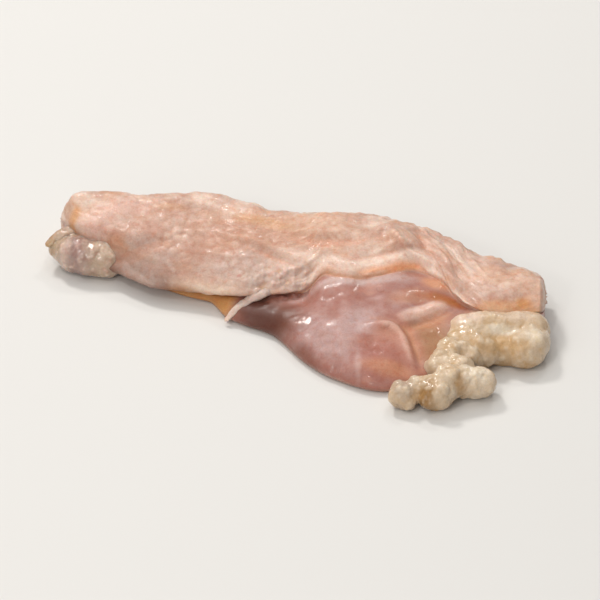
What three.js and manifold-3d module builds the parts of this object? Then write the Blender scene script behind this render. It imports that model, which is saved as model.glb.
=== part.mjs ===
// One piece of raw chicken skin, folded over on itself and lying flat: the bumpy outer skin rolls over a
// ridge along the back, its free edge lies as a lip over the smooth inner membrane at the front, and lobes
// of lumpy fat hang from the right-hand edge. Millimetres, +Z up. X runs along the length, Y runs from the
// front to the back, and the origin is under the middle of the piece, on the level it rests on.
import * as THREE from "three";
import { ImprovedNoise } from "three/addons/math/ImprovedNoise.js";
import { mergeVertices } from "three/addons/utils/BufferGeometryUtils.js";
import Module from "manifold-3d";

// Driving dimensions
const LEFT_END = -69; // x of the rolled end
const RIGHT_END = 68.2; // x of the cut end
const LEFT_ROUNDING = 6; // length over which the rolled end closes
const RIGHT_ROUNDING = 1.8; // length over which the cut end closes
const END_HEIGHT = 6; // height of the middle points of both ends
const EDGE_TUCK = 3.5; // how far the front edge is tucked under
const BACK_SPAN = 10; // from the ridge back to the rear edge
const SUNK = 1.2; // depth the underside is made to, before it is cut flat
const CENTRE = [-0.9, -2]; // middle of the footprint before the piece is moved to the origin
const WAVES = [[9, 0.65], [4.5, 0.5]]; // the loose waves of soft skin, as [length, height]

// Mesh density
const CAP_ROWS = 5;
const BODY_ROWS = 74;
const LUMP_ROWS = 18;
const LUMP_SIDES = 20;
const LUMP_CAP_ROWS = 4;

// The lines that run the length of the piece, as [x, y, z] knots: the nose of the lower layer, the edge of
// the upper layer that lies over it, and the ridge where the sheet turns down at the back
const FRONT_LINE = [
  [-69, 34, 0.8], [-54, 22.5, 0.8], [-40, 13, 0.8], [-32.5, 8.6, 1], [-28, 6.6, 1.2], [-24.5, 5, 1.4],
  [-22.5, 2.2, 1.5], [-20.5, -1.4, 1.6], [-18.4, -3.8, 1.8], [-14, -6.8, 2], [-6, -11.5, 1.8],
  [3, -24, 1.8], [11, -31.5, 1.8], [24, -37, 1.8], [35, -33.5, 2.4], [47, -25, 3], [68, -12, 5],
];
const LIP_LINE = [
  [-69, 27, 9], [-61, 17.5, 8.6], [-54, 15, 8.4], [-41, 6.5, 8], [-31, 4.6, 6.8], [-25, 3.2, 6.6],
  [-17, -0.4, 8.4], [-12, -1, 8.8], [-6, -0.8, 9.4], [0, 0, 10], [2.4, 0.8, 10.6], [6.8, 4.4, 14.4],
  [10.5, 2.8, 15.2], [16, 1.8, 15.4], [22, 3.4, 15.4], [28, 6, 15.4], [32.5, 7.2, 15.2], [37, 4.8, 14.6],
  [40.5, 1, 13.6], [43.5, -3.8, 12.4], [47, -7.6, 11.4], [53, -11, 10.8], [68, -8.5, 10.2],
];
const RIDGE_LINE = [
  [-69, 31.2, 16], [-64, 33, 17.8], [-41, 33, 18.5], [-24, 31, 19.3], [-6, 24.5, 19.2], [19, 24.3, 18.6],
  [36, 20, 16.4], [50, 10.2, 14.8], [61, 5, 14], [68, 0.8, 13.6],
];

// Along the length, as [x, value]: the lip's thickness, how far behind the lip's edge its crease lies, how
// far its underside turns back and its top leans back as shares of its thickness, and the swell of the
// lower layer
const LIP_THICKNESS = [
  [-69, 7], [-54, 6.4], [-41, 5.6], [-31, 3.4], [-25, 2.8], [-8, 2.4], [2.6, 2.2], [6, 2.3], [30, 2.3],
  [36, 2.4], [41, 2], [46, 1.6], [53, 1.6], [68, 1.6],
];
const CREASE = [[-69, 5], [-26, 5], [-14, 2.8], [-2, 1.2], [6, -1.1], [38, -1.1], [47, 0.6], [68, 0.4]];
const HOOK = [[-69, 0.7], [-14, 0.7], [-2, 0.4], [6, -0.3], [38, -0.3], [47, 0.4], [68, 0.7]];
const BROW = [[-69, 0.7], [0, 0.7], [9, 1.35], [32, 1.35], [44, 0.7], [68, 0.7]];
const CROWN = [[-60, 0], [-20, 0.6], [0, 2.4], [22, 3.4], [34, 2.4], [50, 3], [68, 2.4]];

// Points along each span of the section, from the foot round over the lip and the ridge to the rear edge
const SPAN_STEPS = [1, 3, 4, 4, 3, 2, 2, 2, 4, 4, 4, 3, 3, 2, 1, 1, 1];

// Folds: a raised welt with a groove on its right-hand side, along a plan path
const FOLDS = [
  { path: [[-18, 15.8], [-12, 13.4], [-5, 9.9], [2, 6.8], [7, 5.8]], welt: 1, groove: 0.5, width: 1.8 },
  { path: [[34, 10.2], [28, 8.2], [22, 5.8], [16, 4.4], [8, 6.4]], welt: 0.4, groove: 0.5, width: 1.9 },
  {
    path: [[24, 18], [27, 12.8], [30.5, 9.8], [36, 7.2], [40.5, 3], [43.8, -2.4]],
    welt: 1.7,
    groove: 0,
    width: 1.6,
  },
  { path: [[35, 19], [38.7, 10.5], [41.4, 6], [47, 2.5]], welt: 0.9, groove: 1, width: 2.2 },
  { path: [[-62, 24], [-48, 18], [-36, 19]], welt: 0.7, groove: 0.7, width: 2.4 },
  { path: [[-4, 19], [8, 15], [20, 16]], welt: 0.7, groove: 0.6, width: 2.4 },
  { path: [[27, -17.5], [32, -14], [37, -10.5], [42, -6]], welt: 1.3, groove: 0.7, width: 2.4 },
  { path: [[33, -32], [31.5, -27], [29, -21.5], [25.5, -19], [20, -19]], welt: 0.8, groove: 0.7, width: 2 },
];

// The torn part of the lip: ragged lumps of one size round a plan path
const TORN = { path: [[-16, 1.6], [-10, 2], [-4, 2.4], [3, 3.2]], height: 1.4, width: 3.2, size: 3.1 };

// Fat lobes and the membrane bulging from the rolled end, each a chain of lumps as [x, y, z, radius]; blend
// is the width of the valleys between lumps, beads the number of small lumps round each large one, plain the
// lumps without beads, and spine the line the surface is measured from where it isn't the lumps' own
const LOBES = [
  {
    lumps: [
      [30.4, -42.2, 3.2, 4.1], [34.6, -40.4, 3.8, 3.8], [39.4, -41.6, 4, 5.6], [43.2, -37.6, 5.6, 4.6],
      [47.2, -37.2, 4.6, 4.7], [51, -36.6, 4, 4.4],
    ],
    spine: [[30.8, -41.6, 3.4], [39.4, -40, 4], [50.6, -37.2, 4.2]],
    blend: 0.55,
    beads: 6,
  },
  {
    lumps: [[45, -33, 4.8, 4.8], [40.6, -29.6, 4.4, 4.6], [43, -24, 4.8, 4.8], [48, -23.6, 4, 4.6]],
    spine: [[44.2, -32.4, 4.6], [43, -28.4, 4.6], [44.6, -24.4, 4.6]],
    blend: 0.55,
    beads: 6,
  },
  {
    lumps: [
      [46.4, -19.4, 4.8, 5], [51, -21.4, 4.2, 4.9], [57.4, -19.4, 3.2, 4.2], [62.4, -20.8, 4, 4.7],
      [65, -18.4, 4.6, 4.7],
    ],
    plain: [
      [46.6, -14.6, 6, 5], [51, -13.6, 6, 5.2], [55.8, -13, 5.8, 5.2], [60.6, -12, 5.6, 5],
      [64.8, -11.6, 5.4, 4.8],
    ],
    spine: [[46.2, -17, 5], [51, -17, 5], [56, -16.8, 5], [61, -16.6, 5], [65, -16, 5]],
    blend: 0.9,
    beads: 5,
  },
  {
    lumps: [
      [-68.6, 24, 5.6, 2.8], [-63.8, 21.6, 5, 4.9], [-59, 20.4, 4.9, 4.7], [-54.4, 18.8, 4.6, 4.3],
    ],
    plain: [[-66, 26.4, 7.2, 2.6], [-60.5, 24.4, 7.4, 2.8], [-55, 21.6, 7.2, 2.8]],
    spine: [[-68.6, 24, 5.6], [-63.8, 21.6, 5], [-59, 20.4, 4.9], [-54.4, 18.8, 4.6]],
    blend: 0.9,
    beads: 0,
  },
];
const BEAD_SIZE = 0.42; // radius of a bead as a share of its lump's
const BEAD_SETTING = 0.66; // its distance from the lump's middle, likewise
const CORE_SIZE = 0.84; // what is left of the lump itself
const BEAD_TURN = 2.4; // turn from one bead to the next, in radians
const LUMP_REACH = 16; // farthest a lobe's surface lies from its spine

// Tapering tubes as [x, y, z, radius] knots: the torn strand at the foot of the lip, and the point of skin
// that stands out at the rolled end
const STRAND = [
  [-5.3, 2.1, 8.3, 1.2], [-9.8, -0.7, 8, 1.7], [-14.1, -1.4, 5.8, 1.6], [-17.2, -3.1, 3.6, 1.3],
  [-19.9, -5, 1.3, 0.9],
];
const END_POINT = [
  [-62, 28.4, 9.2, 1.6], [-66.4, 26.2, 9, 2.3], [-69.4, 24.4, 8.2, 2], [-72, 22.6, 7, 0.7],
];
const TUBE_ROWS = 12;
const TUBE_SIDES = 8;

const mix = (a, b, t) => a + (b - a) * t;

// A smooth curve through knots sorted by x, level beyond both ends; pick chooses the value in the knot
function along(knots, x, pick = 1) {
  const last = knots.length - 1;
  if (x <= knots[0][0]) return knots[0][pick];
  if (x >= knots[last][0]) return knots[last][pick];
  const i = knots.findIndex((k) => k[0] > x) - 1;
  const slope = (k) => {
    const [a, b] = [knots[Math.max(k - 1, 0)], knots[Math.min(k + 1, last)]];
    return (b[pick] - a[pick]) / (b[0] - a[0]);
  };
  const [from, to] = [knots[i], knots[i + 1]];
  const [w, t] = [to[0] - from[0], (x - from[0]) / (to[0] - from[0])];
  const [t2, t3] = [t * t, t * t * t];
  const ends = from[pick] * (2 * t3 - 3 * t2 + 1) + to[pick] * (3 * t2 - 2 * t3);
  return ends + w * (slope(i) * (t3 - 2 * t2 + t) + slope(i + 1) * (t3 - t2));
}

// The control points of the section at x, as [y, z], from the front foot up over the lip and the ridge
function sectionPoints(x) {
  const [frontY, frontZ] = [along(FRONT_LINE, x, 1), along(FRONT_LINE, x, 2)];
  const [lipY, lipZ] = [along(LIP_LINE, x, 1), along(LIP_LINE, x, 2)];
  const [ridgeY, ridgeZ] = [along(RIDGE_LINE, x, 1), along(RIDGE_LINE, x, 2)];
  const thick = along(LIP_THICKNESS, x);
  const [rootY, rootZ] = [Math.max(lipY + along(CREASE, x), frontY + 1), lipZ - thick - 0.4];
  const crown = along(CROWN, x);
  const lower = (t, swell) => [mix(frontY, rootY, t), mix(frontZ, rootZ, t) + swell * crown];
  const upper = (t, swell) => [mix(lipY, ridgeY, t), mix(lipZ, ridgeZ, t) + swell];
  const foot = frontY + EDGE_TUCK;
  const heel = ridgeY + 0.85 * BACK_SPAN;
  return [
    [foot, -SUNK],
    [frontY, frontZ],
    lower(0.2, 1.1),
    lower(0.5, 1),
    lower(0.8, 0.45),
    [rootY, rootZ],
    [lipY + along(HOOK, x) * thick, lipZ - thick],
    [lipY, lipZ - 0.5 * thick],
    [lipY + along(BROW, x) * thick, lipZ + 0.3],
    upper(0.38, 1.2),
    upper(0.72, 1.2),
    [ridgeY, ridgeZ],
    [ridgeY + 0.62 * BACK_SPAN, 0.76 * ridgeZ],
    [ridgeY + BACK_SPAN, 0.34 * ridgeZ],
    [heel, -SUNK],
    [mix(heel, foot, 0.33), -SUNK],
    [mix(heel, foot, 0.66), -SUNK],
  ];
}

// The closed section at x: a centripetal Catmull-Rom curve through its control points, drawn in to its
// middle by scale
function sectionRing(x, scale) {
  const points = sectionPoints(x);
  const middleY = mix(points[1][0], points[13][0], 0.5);
  const curve = new THREE.CatmullRomCurve3(
    points.map(([y, z]) => new THREE.Vector3(x, y, z)), true, "centripetal",
  );
  return SPAN_STEPS.flatMap((steps, span) => Array.from({ length: steps }, (_, k) => {
    const p = curve.getPoint((span + k / steps) / points.length);
    return new THREE.Vector3(x, mix(middleY, p.y, scale), mix(END_HEIGHT, p.z, scale));
  }));
}

// A fold's path drawn smoothly in plan
const smoothPath = (path) =>
  new THREE.SplineCurve(path.map(([x, y]) => new THREE.Vector2(x, y))).getPoints(24);
const SMOOTH_FOLDS = FOLDS.map((fold) => ({ ...fold, line: smoothPath(fold.path) }));
const TORN_LINE = smoothPath(TORN.path);

// Signed distance from a plan point to a line, positive on its left, and the share of the line passed
function fromLine(line, x, y) {
  let best = { distance: Infinity, share: 0 };
  for (let i = 0; i + 1 < line.length; i++) {
    const [a, b] = [line[i], line[i + 1]];
    const [dx, dy] = [b.x - a.x, b.y - a.y];
    const t = THREE.MathUtils.clamp(((x - a.x) * dx + (y - a.y) * dy) / (dx * dx + dy * dy), 0, 1);
    const [ox, oy] = [x - a.x - t * dx, y - a.y - t * dy];
    const distance = Math.hypot(ox, oy) * (dx * oy - dy * ox < 0 ? -1 : 1);
    if (Math.abs(distance) < Math.abs(best.distance)) best = { distance, share: (i + t) / (line.length - 1) };
  }
  return best;
}

const noise = new ImprovedNoise();

// How far the upper faces stand out at a plan point: the folds, the torn lumps and the loose waves of skin
function relief(x, y) {
  const folded = SMOOTH_FOLDS.reduce((sum, { line, welt, groove, width }) => {
    const { distance, share } = fromLine(line, x, y);
    const fade = Math.sin(Math.PI * mix(0.08, 0.92, share));
    const bump = (centre, spread) => Math.exp(-(((distance - centre) / spread) ** 2));
    return sum + fade * (welt * bump(0.3 * width, width) - groove * bump(-1.2 * width, 0.7 * width));
  }, 0);
  const swell = (size) => noise.noise(x / size, y / size, size);
  const waves = WAVES.reduce((sum, [size, rise]) => sum + 2 * rise * swell(size), 0);
  const near = Math.exp(-((fromLine(TORN_LINE, x, y).distance / TORN.width) ** 2));
  const torn = 2 * TORN.height * near * swell(TORN.size);
  return folded + torn + waves;
}

// A closed geometry from rings of points, with a middle point at each end
function skinOf(rings) {
  const sides = rings[0].length;
  const middle = (ring) => ring.reduce((s, p) => s.add(p), new THREE.Vector3()).divideScalar(sides);
  const points = [middle(rings[0]), ...rings.flat(), middle(rings.at(-1))];
  const at = (i, j) => 1 + i * sides + (j % sides);
  const faces = [];
  const reach = (a, b) => points[a].distanceTo(points[b]);
  for (let j = 0; j < sides; j++) {
    faces.push(0, at(0, j), at(0, j + 1));
    for (let i = 0; i + 1 < rings.length; i++) {
      const [a, b, c, d] = [at(i, j), at(i + 1, j), at(i + 1, j + 1), at(i, j + 1)];
      if (reach(a, c) <= reach(b, d)) faces.push(a, b, c, a, c, d);
      else faces.push(a, b, d, b, c, d);
    }
    faces.push(points.length - 1, at(rings.length - 1, j + 1), at(rings.length - 1, j));
  }
  return new THREE.BufferGeometry().setFromPoints(points).setIndex(faces);
}

// The folded skin itself: sections along the length, closed at both ends, with its relief
function foldedSkin() {
  const turns = Array.from({ length: CAP_ROWS }, (_, i) => (((i + 1) / CAP_ROWS) * Math.PI) / 2);
  const [start, end] = [LEFT_END + LEFT_ROUNDING, RIGHT_END - RIGHT_ROUNDING];
  const stations = [
    ...turns.map((turn) => [start - LEFT_ROUNDING * Math.cos(turn), Math.sin(turn)]),
    ...Array.from({ length: BODY_ROWS - 1 }, (_, i) => [mix(start, end, (i + 1) / BODY_ROWS), 1]),
    ...turns.map((turn) => [end + RIGHT_ROUNDING * Math.cos(turn), Math.sin(turn)]).reverse(),
  ];
  const geometry = skinOf(stations.map(([x, scale]) => sectionRing(x, scale)));
  geometry.computeVertexNormals();
  const [place, normal] = [geometry.attributes.position, geometry.attributes.normal];
  for (let i = 0; i < place.count; i++) {
    const at = new THREE.Vector3().fromBufferAttribute(place, i);
    const out = new THREE.Vector3().fromBufferAttribute(normal, i);
    const rise = THREE.MathUtils.smoothstep(at.z, 1, 5) * relief(at.x, at.y) * Math.max(0, out.z);
    at.addScaledVector(out, rise);
    place.setXYZ(i, at.x, at.y, at.z);
  }
  return geometry;
}

// A chain's lumps with their beads, set out in an even turning spiral over each lump
function beaded({ lumps, beads, plain = [] }) {
  return plain.concat(lumps.flatMap(([x, y, z, r]) => [
    [x, y, z, beads > 0 ? CORE_SIZE * r : r],
    ...Array.from({ length: beads }, (_, k) => {
      const rise = mix(-0.2, 0.95, (k + 0.5) / beads);
      const [flat, turn] = [Math.sqrt(1 - rise * rise), BEAD_TURN * k + x];
      const away = BEAD_SETTING * r;
      const [aside, ahead] = [away * flat * Math.cos(turn), away * flat * Math.sin(turn)];
      return [x + aside, y + ahead, z + away * rise, BEAD_SIZE * r];
    }),
  ]));
}

// How deep a point lies in lumps softly run together: positive inside
function lumpDepth(lumps, blend, p) {
  const near = lumps.reduce(
    (sum, [x, y, z, r]) => sum + Math.exp((r - Math.hypot(p.x - x, p.y - y, p.z - z)) / blend), 0,
  );
  return blend * Math.log(near);
}

// A lobe of lumps: rays from a spine through the lumps, each ending where the depth falls to nothing
function lobe(chain) {
  const all = beaded(chain);
  const knots = chain.spine ?? chain.lumps;
  const spine = new THREE.CatmullRomCurve3(knots.map(([x, y, z]) => new THREE.Vector3(x, y, z)));
  const lean = Array.from({ length: LUMP_CAP_ROWS }, (_, i) => (((i + 0.5) / LUMP_CAP_ROWS) * Math.PI) / 2);
  const stations = [
    ...lean.map((a) => [0, a - Math.PI / 2]),
    ...Array.from({ length: LUMP_ROWS }, (_, i) => [i / (LUMP_ROWS - 1), 0]),
    ...lean.map((a) => [1, a]),
  ];
  return skinOf(stations.map(([t, tilt]) => {
    const [start, axis] = [spine.getPointAt(t), spine.getTangentAt(t)];
    const side = new THREE.Vector3(0, 0, 1).cross(axis).normalize();
    const up = axis.clone().cross(side);
    return Array.from({ length: LUMP_SIDES }, (_, j) => {
      const turn = (2 * Math.PI * j) / LUMP_SIDES;
      const ray = axis.clone().multiplyScalar(Math.sin(tilt))
        .addScaledVector(side, Math.cos(tilt) * Math.cos(turn))
        .addScaledVector(up, Math.cos(tilt) * Math.sin(turn));
      let [inside, outside] = [0, LUMP_REACH];
      for (let halving = 0; halving < 16; halving++) {
        const reach = (inside + outside) / 2;
        if (lumpDepth(all, chain.blend, start.clone().addScaledVector(ray, reach)) > 0) inside = reach;
        else outside = reach;
      }
      return start.clone().addScaledVector(ray, inside);
    });
  }));
}

// A tapering tube along its knots
function tube(knots) {
  const line = new THREE.CatmullRomCurve3(knots.map(([x, y, z]) => new THREE.Vector3(x, y, z)));
  const radii = knots.map(([, , , r], i) => [i / (knots.length - 1), r]);
  return skinOf(Array.from({ length: TUBE_ROWS }, (_, i) => {
    const t = i / (TUBE_ROWS - 1);
    const [centre, axis] = [line.getPoint(t), line.getTangent(t)];
    const side = new THREE.Vector3(0, 0, 1).cross(axis).normalize();
    const up = axis.clone().cross(side);
    return Array.from({ length: TUBE_SIDES }, (_, j) => {
      const turn = (2 * Math.PI * j) / TUBE_SIDES;
      return centre.clone()
        .addScaledVector(side, along(radii, t) * Math.cos(turn))
        .addScaledVector(up, along(radii, t) * Math.sin(turn));
    });
  }));
}

const wasm = await Module();
wasm.setup();

// A closed geometry as a solid, its faces turned outwards
function solid(geometry) {
  const bare = new THREE.BufferGeometry();
  bare.setAttribute("position", geometry.attributes.position).setIndex(geometry.index);
  const merged = mergeVertices(bare, 1e-4);
  const vertProperties = new Float32Array(merged.attributes.position.array);
  const triVerts = new Uint32Array(merged.index.array);
  const made = new wasm.Manifold(new wasm.Mesh({ numProp: 3, vertProperties, triVerts }));
  if (made.volume() > 0) return made;
  return new wasm.Manifold(new wasm.Mesh({ numProp: 3, vertProperties, triVerts: triVerts.reverse() }));
}

// A solid's surface as a geometry
function geometryOf(made) {
  const { vertProperties, triVerts } = made.getMesh();
  return new THREE.BufferGeometry()
    .setAttribute("position", new THREE.BufferAttribute(vertProperties, 3))
    .setIndex(new THREE.BufferAttribute(triVerts, 1));
}

const level = solid(new THREE.BoxGeometry(200, 200, 40).translate(0, 0, -20));
const whole = [...LOBES.map(lobe), tube(STRAND), tube(END_POINT)]
  .reduce((sum, piece) => sum.add(solid(piece)), solid(foldedSkin()))
  .subtract(level);
const rawSkin = new THREE.MeshStandardMaterial({ color: 0xe8c8b4, roughness: 0.35, metalness: 0 });
const chickenSkin = new THREE.Mesh(geometryOf(whole), rawSkin);
chickenSkin.name = "chicken_skin";
chickenSkin.position.set(-CENTRE[0], -CENTRE[1], 0);

const group = new THREE.Group();
group.name = "raw_chicken_skin";
group.add(chickenSkin);
export default group;
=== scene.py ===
"""One folded piece of raw chicken skin, alone on a plain pale floor.

The bumpy outer skin rolls over a ridge along the back, its free edge lies as a lip over the smooth, wet
membrane at the front, and lobes of lumpy fat hang from the right-hand edge. Shapes are worked out in
millimetres in the piece's own plan and are moved into the frame, in metres, when a mesh is made.
"""

import logging
from dataclasses import dataclass
from enum import Enum, IntEnum

import bpy
import numpy as np
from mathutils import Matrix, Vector


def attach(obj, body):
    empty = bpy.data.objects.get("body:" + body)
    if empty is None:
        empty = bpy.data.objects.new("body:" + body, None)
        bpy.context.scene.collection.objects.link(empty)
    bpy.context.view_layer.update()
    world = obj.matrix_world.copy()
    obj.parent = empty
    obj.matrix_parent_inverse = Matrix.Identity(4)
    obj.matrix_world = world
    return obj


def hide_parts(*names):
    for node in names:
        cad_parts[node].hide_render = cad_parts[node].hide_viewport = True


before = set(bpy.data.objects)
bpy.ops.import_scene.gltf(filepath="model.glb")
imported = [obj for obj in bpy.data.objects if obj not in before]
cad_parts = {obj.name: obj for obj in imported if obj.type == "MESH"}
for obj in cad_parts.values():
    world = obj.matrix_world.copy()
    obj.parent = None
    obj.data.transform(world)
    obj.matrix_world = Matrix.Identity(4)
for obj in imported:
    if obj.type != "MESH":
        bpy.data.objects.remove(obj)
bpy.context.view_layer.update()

LOG = logging.getLogger("chicken_skin")
MM = 0.001
CENTRE = np.array([-0.9, -2.0, 0.0])
NODE = "chicken_skin"

Knots = tuple[tuple[float, ...], ...]


class Tone(Enum):
    """Colours of the tissues, and of the painted shade and painted highlights laid over them, as linear red,
    green and blue.
    """

    CREAM = (0.62, 0.435, 0.35)
    # Pale skin, also laid as painted highlight on the lip's face and crest, on bump tops and on fat tops.
    PALE_AND_HIGHLIGHT = (0.78, 0.60, 0.50)
    # Salmon blush of the skin, also laid as painted shade in the net of creases, in wrinkle troughs and in
    # grooves.
    BLUSH_AND_CREASE_SHADE = (0.50, 0.275, 0.20)
    PEACH = (0.66, 0.40, 0.27)
    RUSSET = (0.52, 0.29, 0.18)
    TORN = (0.52, 0.405, 0.35)
    PINK = (0.74, 0.48, 0.40)
    # Salmon, also laid as painted shade along the crease under the lip and in fold grooves.
    SALMON_AND_SHADE = (0.68, 0.34, 0.225)
    # Grey tissue, also laid as painted shade on the underside of the left roll.
    GREY_AND_SHADE = (0.50, 0.375, 0.325)
    ASH = (0.47, 0.32, 0.25)
    OCHRE = (0.66, 0.38, 0.20)
    MAUVE = (0.36, 0.155, 0.12)
    LILAC = (0.52, 0.355, 0.335)
    # Painted highlight: pale haze on the membrane's top under the lip and on a fold edge.
    HAZE_HIGHLIGHT = (0.56, 0.42, 0.39)
    # Dark purple of the membrane, darkened further as painted shade under the lip's overhang.
    PLUM_AND_SHADE = (0.17, 0.065, 0.042)
    # Painted shade at the membrane's foot under the lip.
    MEMBRANE_FOOT_SHADE = (0.10, 0.032, 0.02)
    SHADED = (0.24, 0.125, 0.085)
    LEAN = (0.53, 0.245, 0.165)
    FLESH = (0.37, 0.13, 0.095)
    TAN = (0.38, 0.185, 0.085)
    # Painted shade: the dark brown line below the lip of the diagonal ridge.
    BROWN_LINE_SHADE = (0.40, 0.13, 0.035)
    # Painted shade in the slit under the torn lip.
    SLIT_SHADE = (0.24, 0.075, 0.045)
    # Painted highlight on the membrane's folded strip and on its fold crests.
    FOLD_HIGHLIGHT = (0.80, 0.57, 0.48)
    # Brown, laid mostly as painted shade in hollows, under the lip and in membrane grooves.
    UMBER_AND_SHADE = (0.58, 0.27, 0.145)
    DEEP = (0.55, 0.27, 0.09)
    ORANGE = (0.88, 0.42, 0.22)
    FAT = (0.60, 0.455, 0.315)
    # Pale fat, also laid as painted highlight on the fat's crests.
    FAT_PALE_AND_HIGHLIGHT = (0.78, 0.68, 0.55)
    # Painted shade of the fat: in the valleys between lumps, near the floor and in hollows.
    FAT_VALLEY_SHADE = (0.50, 0.30, 0.125)
    FAT_SHADE = (0.33, 0.18, 0.065)
    RIM = (0.67, 0.52, 0.41)
    AMBER = (0.64, 0.30, 0.10)
    FAT_GREY = (0.48, 0.37, 0.28)
    NUB = (0.44, 0.31, 0.20)
    TIP = (0.46, 0.31, 0.17)
    CUFF = (0.50, 0.37, 0.29)
    VEIL = (0.33, 0.225, 0.20)
    BLOOD = (0.45, 0.12, 0.09)


class Seed(IntEnum):
    """Chooses the scatter of each pattern."""

    WAVE = 11
    WAVELET = 12
    RIPPLE = 21
    RIPPLET = 22
    SHIMMER = 23
    SHRED = 24
    GLINT = 25
    SHRED_FINE = 26
    RAGGED = 27
    SCALLOP = 28
    WARP_ALONG = 31
    WARP_AROUND = 32
    FOLLICLE = 33
    FOLLICLE_FINE = 35
    FOLLICLE_PATCH = 36
    SWAY = 41
    WRINKLE = 42
    WRINKLE_FINE = 43
    WRINKLE_PATCH = 44
    SLANT = 45
    SLANT_FINE = 46
    BACK_ROLL = 48
    BACK_SLACK = 49
    MOTTLE = 51
    MOTTLE_FINE = 52
    INNER = 53
    INNER_FINE = 54
    WARM = 55
    WARM_FINE = 56
    BLOTCH = 57
    CURD = 61
    CURD_FINE = 64
    CURD_GRAIN = 67
    TUBE = 71
    TUBE_FINE = 72


class Layer(Enum):
    """Which face of the folded sheet a patch of colour is on."""

    OUTER = "outer"
    MEMBRANE = "membrane"
    BOTH = "both"


def mix(a: np.ndarray | float, b: np.ndarray | float, t: np.ndarray | float) -> np.ndarray:
    """Returns a plus t times the way from a to b."""
    return a + (np.asarray(b) - a) * t


def smooth_step(value: np.ndarray, low: float, high: float) -> np.ndarray:
    """Rises from 0 at low to 1 at high along 3t^2 - 2t^3.

    Args:
        value: What is compared with the two limits.
        low: Where the rise starts.
        high: Where the rise ends.

    Returns:
        The share risen, from 0 to 1.
    """
    t = np.clip((value - low) / (high - low), 0.0, 1.0)
    return t * t * (3.0 - 2.0 * t)


def lattice(cells: np.ndarray, seed: int) -> np.ndarray:
    """Gives every lattice cell an even-handed number from 0 to 1.

    Args:
        cells: Whole-number cell positions, with the last axis of length 3.
        seed: Chooses one pattern among many.

    Returns:
        One number for each cell, always the same for the same cell and seed.
    """
    c = cells.astype(np.int64).astype(np.uint64)
    primes = np.array([73856093, 19349663, 83492791], dtype=np.uint64)
    h = np.bitwise_xor.reduce(c * primes, axis=-1) ^ np.uint64(seed * 2654435761 % 2**32)
    for shift, factor in ((15, 2246822519), (13, 3266489917)):
        h = ((h ^ (h >> np.uint64(shift))) * np.uint64(factor)) & np.uint64(0xFFFFFFFF)
    return (h & np.uint64(0xFFFFFF)).astype(float) / 0xFFFFFF


def noise(points: np.ndarray, size: tuple[float, float, float] | float, seed: int) -> np.ndarray:
    """Smooth noise: lattice numbers blended between the eight corners of each cell.

    Args:
        points: Positions, with the last axis of length 3.
        size: Length of a cell along each axis.
        seed: Chooses the pattern.

    Returns:
        Values from -1 to 1, one for each position.
    """
    scaled = points / np.broadcast_to(np.asarray(size, float), (3,))
    cell = np.floor(scaled)
    t = scaled - cell
    t = t * t * t * (t * (t * 6 - 15) + 10)
    total = np.zeros(points.shape[:-1])
    for corner in np.ndindex(2, 2, 2):
        weight = np.prod(np.where(np.array(corner) == 1, t, 1 - t), axis=-1)
        total += weight * lattice(cell + np.array(corner), seed)
    return total * 2 - 1


@dataclass(frozen=True)
class Grain:
    """One layer of smooth noise: the size of its cells, its height and its pattern."""

    size: tuple[float, float, float] | float
    height: float
    seed: Seed

    def at(self, points: np.ndarray) -> np.ndarray:
        """The layer's height at points."""
        return self.height * noise(points, self.size, self.seed)


def layered(grains: tuple[Grain, ...], points: np.ndarray) -> np.ndarray:
    """The sum of several layers of noise at points."""
    return sum(grain.at(points) for grain in grains)


def nearest_spots(points: np.ndarray, seed: int, layers: int = 1) -> tuple[np.ndarray, np.ndarray]:
    """Distances to the nearest and second nearest of one scattered spot per unit cell.

    Args:
        points: Positions in units of the spots' mean spacing, with the last axis of length 3.
        seed: Chooses the scatter.
        layers: 1 for spots in the x-y plane only, 3 for spots in space.

    Returns:
        The two distances, in the same units.
    """
    axes = 2 if layers == 1 else 3
    cell = np.floor(points)
    first = np.full(points.shape[:-1], 9.0)
    second = first.copy()
    for i, j, k in np.ndindex(3, 3, layers):
        near = cell + np.array([i - 1, j - 1, k - layers // 2])
        spot = near[..., :axes] + np.stack([lattice(near, seed + n) for n in range(axes)], axis=-1)
        d = np.linalg.norm(points[..., :axes] - spot, axis=-1)
        second = np.minimum(second, np.maximum(first, d))
        first = np.minimum(first, d)
    return first, second


def hermite(p1: np.ndarray, p2: np.ndarray, m1: np.ndarray, m2: np.ndarray, t: np.ndarray) -> np.ndarray:
    """The cubic from p1 to p2 that leaves along m1 and arrives along m2, at share t."""
    t2, t3 = t * t, t * t * t
    return p1 * (2 * t3 - 3 * t2 + 1) + p2 * (3 * t2 - 2 * t3) + m1 * (t3 - 2 * t2 + t) + m2 * (t3 - t2)


def closed_curve(points: np.ndarray, steps: tuple[int, ...]) -> np.ndarray:
    """Centripetal Catmull-Rom curves through closed rows of control points.

    Each span is a cubic whose end slopes come from the chords on both sides, weighted by the square roots
    of their lengths, so short spans beside long ones make no loops.

    Args:
        points: Control points, shaped (rows, points, 2).
        steps: How many places are taken along each span.

    Returns:
        The places, shaped (rows, sum of steps, 2).
    """
    spans = []
    for span, count in enumerate(steps):
        p0, p1, p2, p3 = (np.roll(points, 1 - k - span, axis=1)[:, :1] for k in range(4))
        d0, d1, d2 = (
            np.sqrt(np.maximum(np.linalg.norm(b - a, axis=-1, keepdims=True), 1e-6))
            for a, b in ((p0, p1), (p1, p2), (p2, p3))
        )
        m1 = d1 * ((p1 - p0) / d0 - (p2 - p0) / (d0 + d1) + (p2 - p1) / d1)
        m2 = d1 * ((p2 - p1) / d1 - (p3 - p1) / (d1 + d2) + (p3 - p2) / d2)
        t = (np.arange(count) / count)[None, :, None]
        spans.append(hermite(p1, p2, m1, m2, t))
    return np.concatenate(spans, axis=1)


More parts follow.
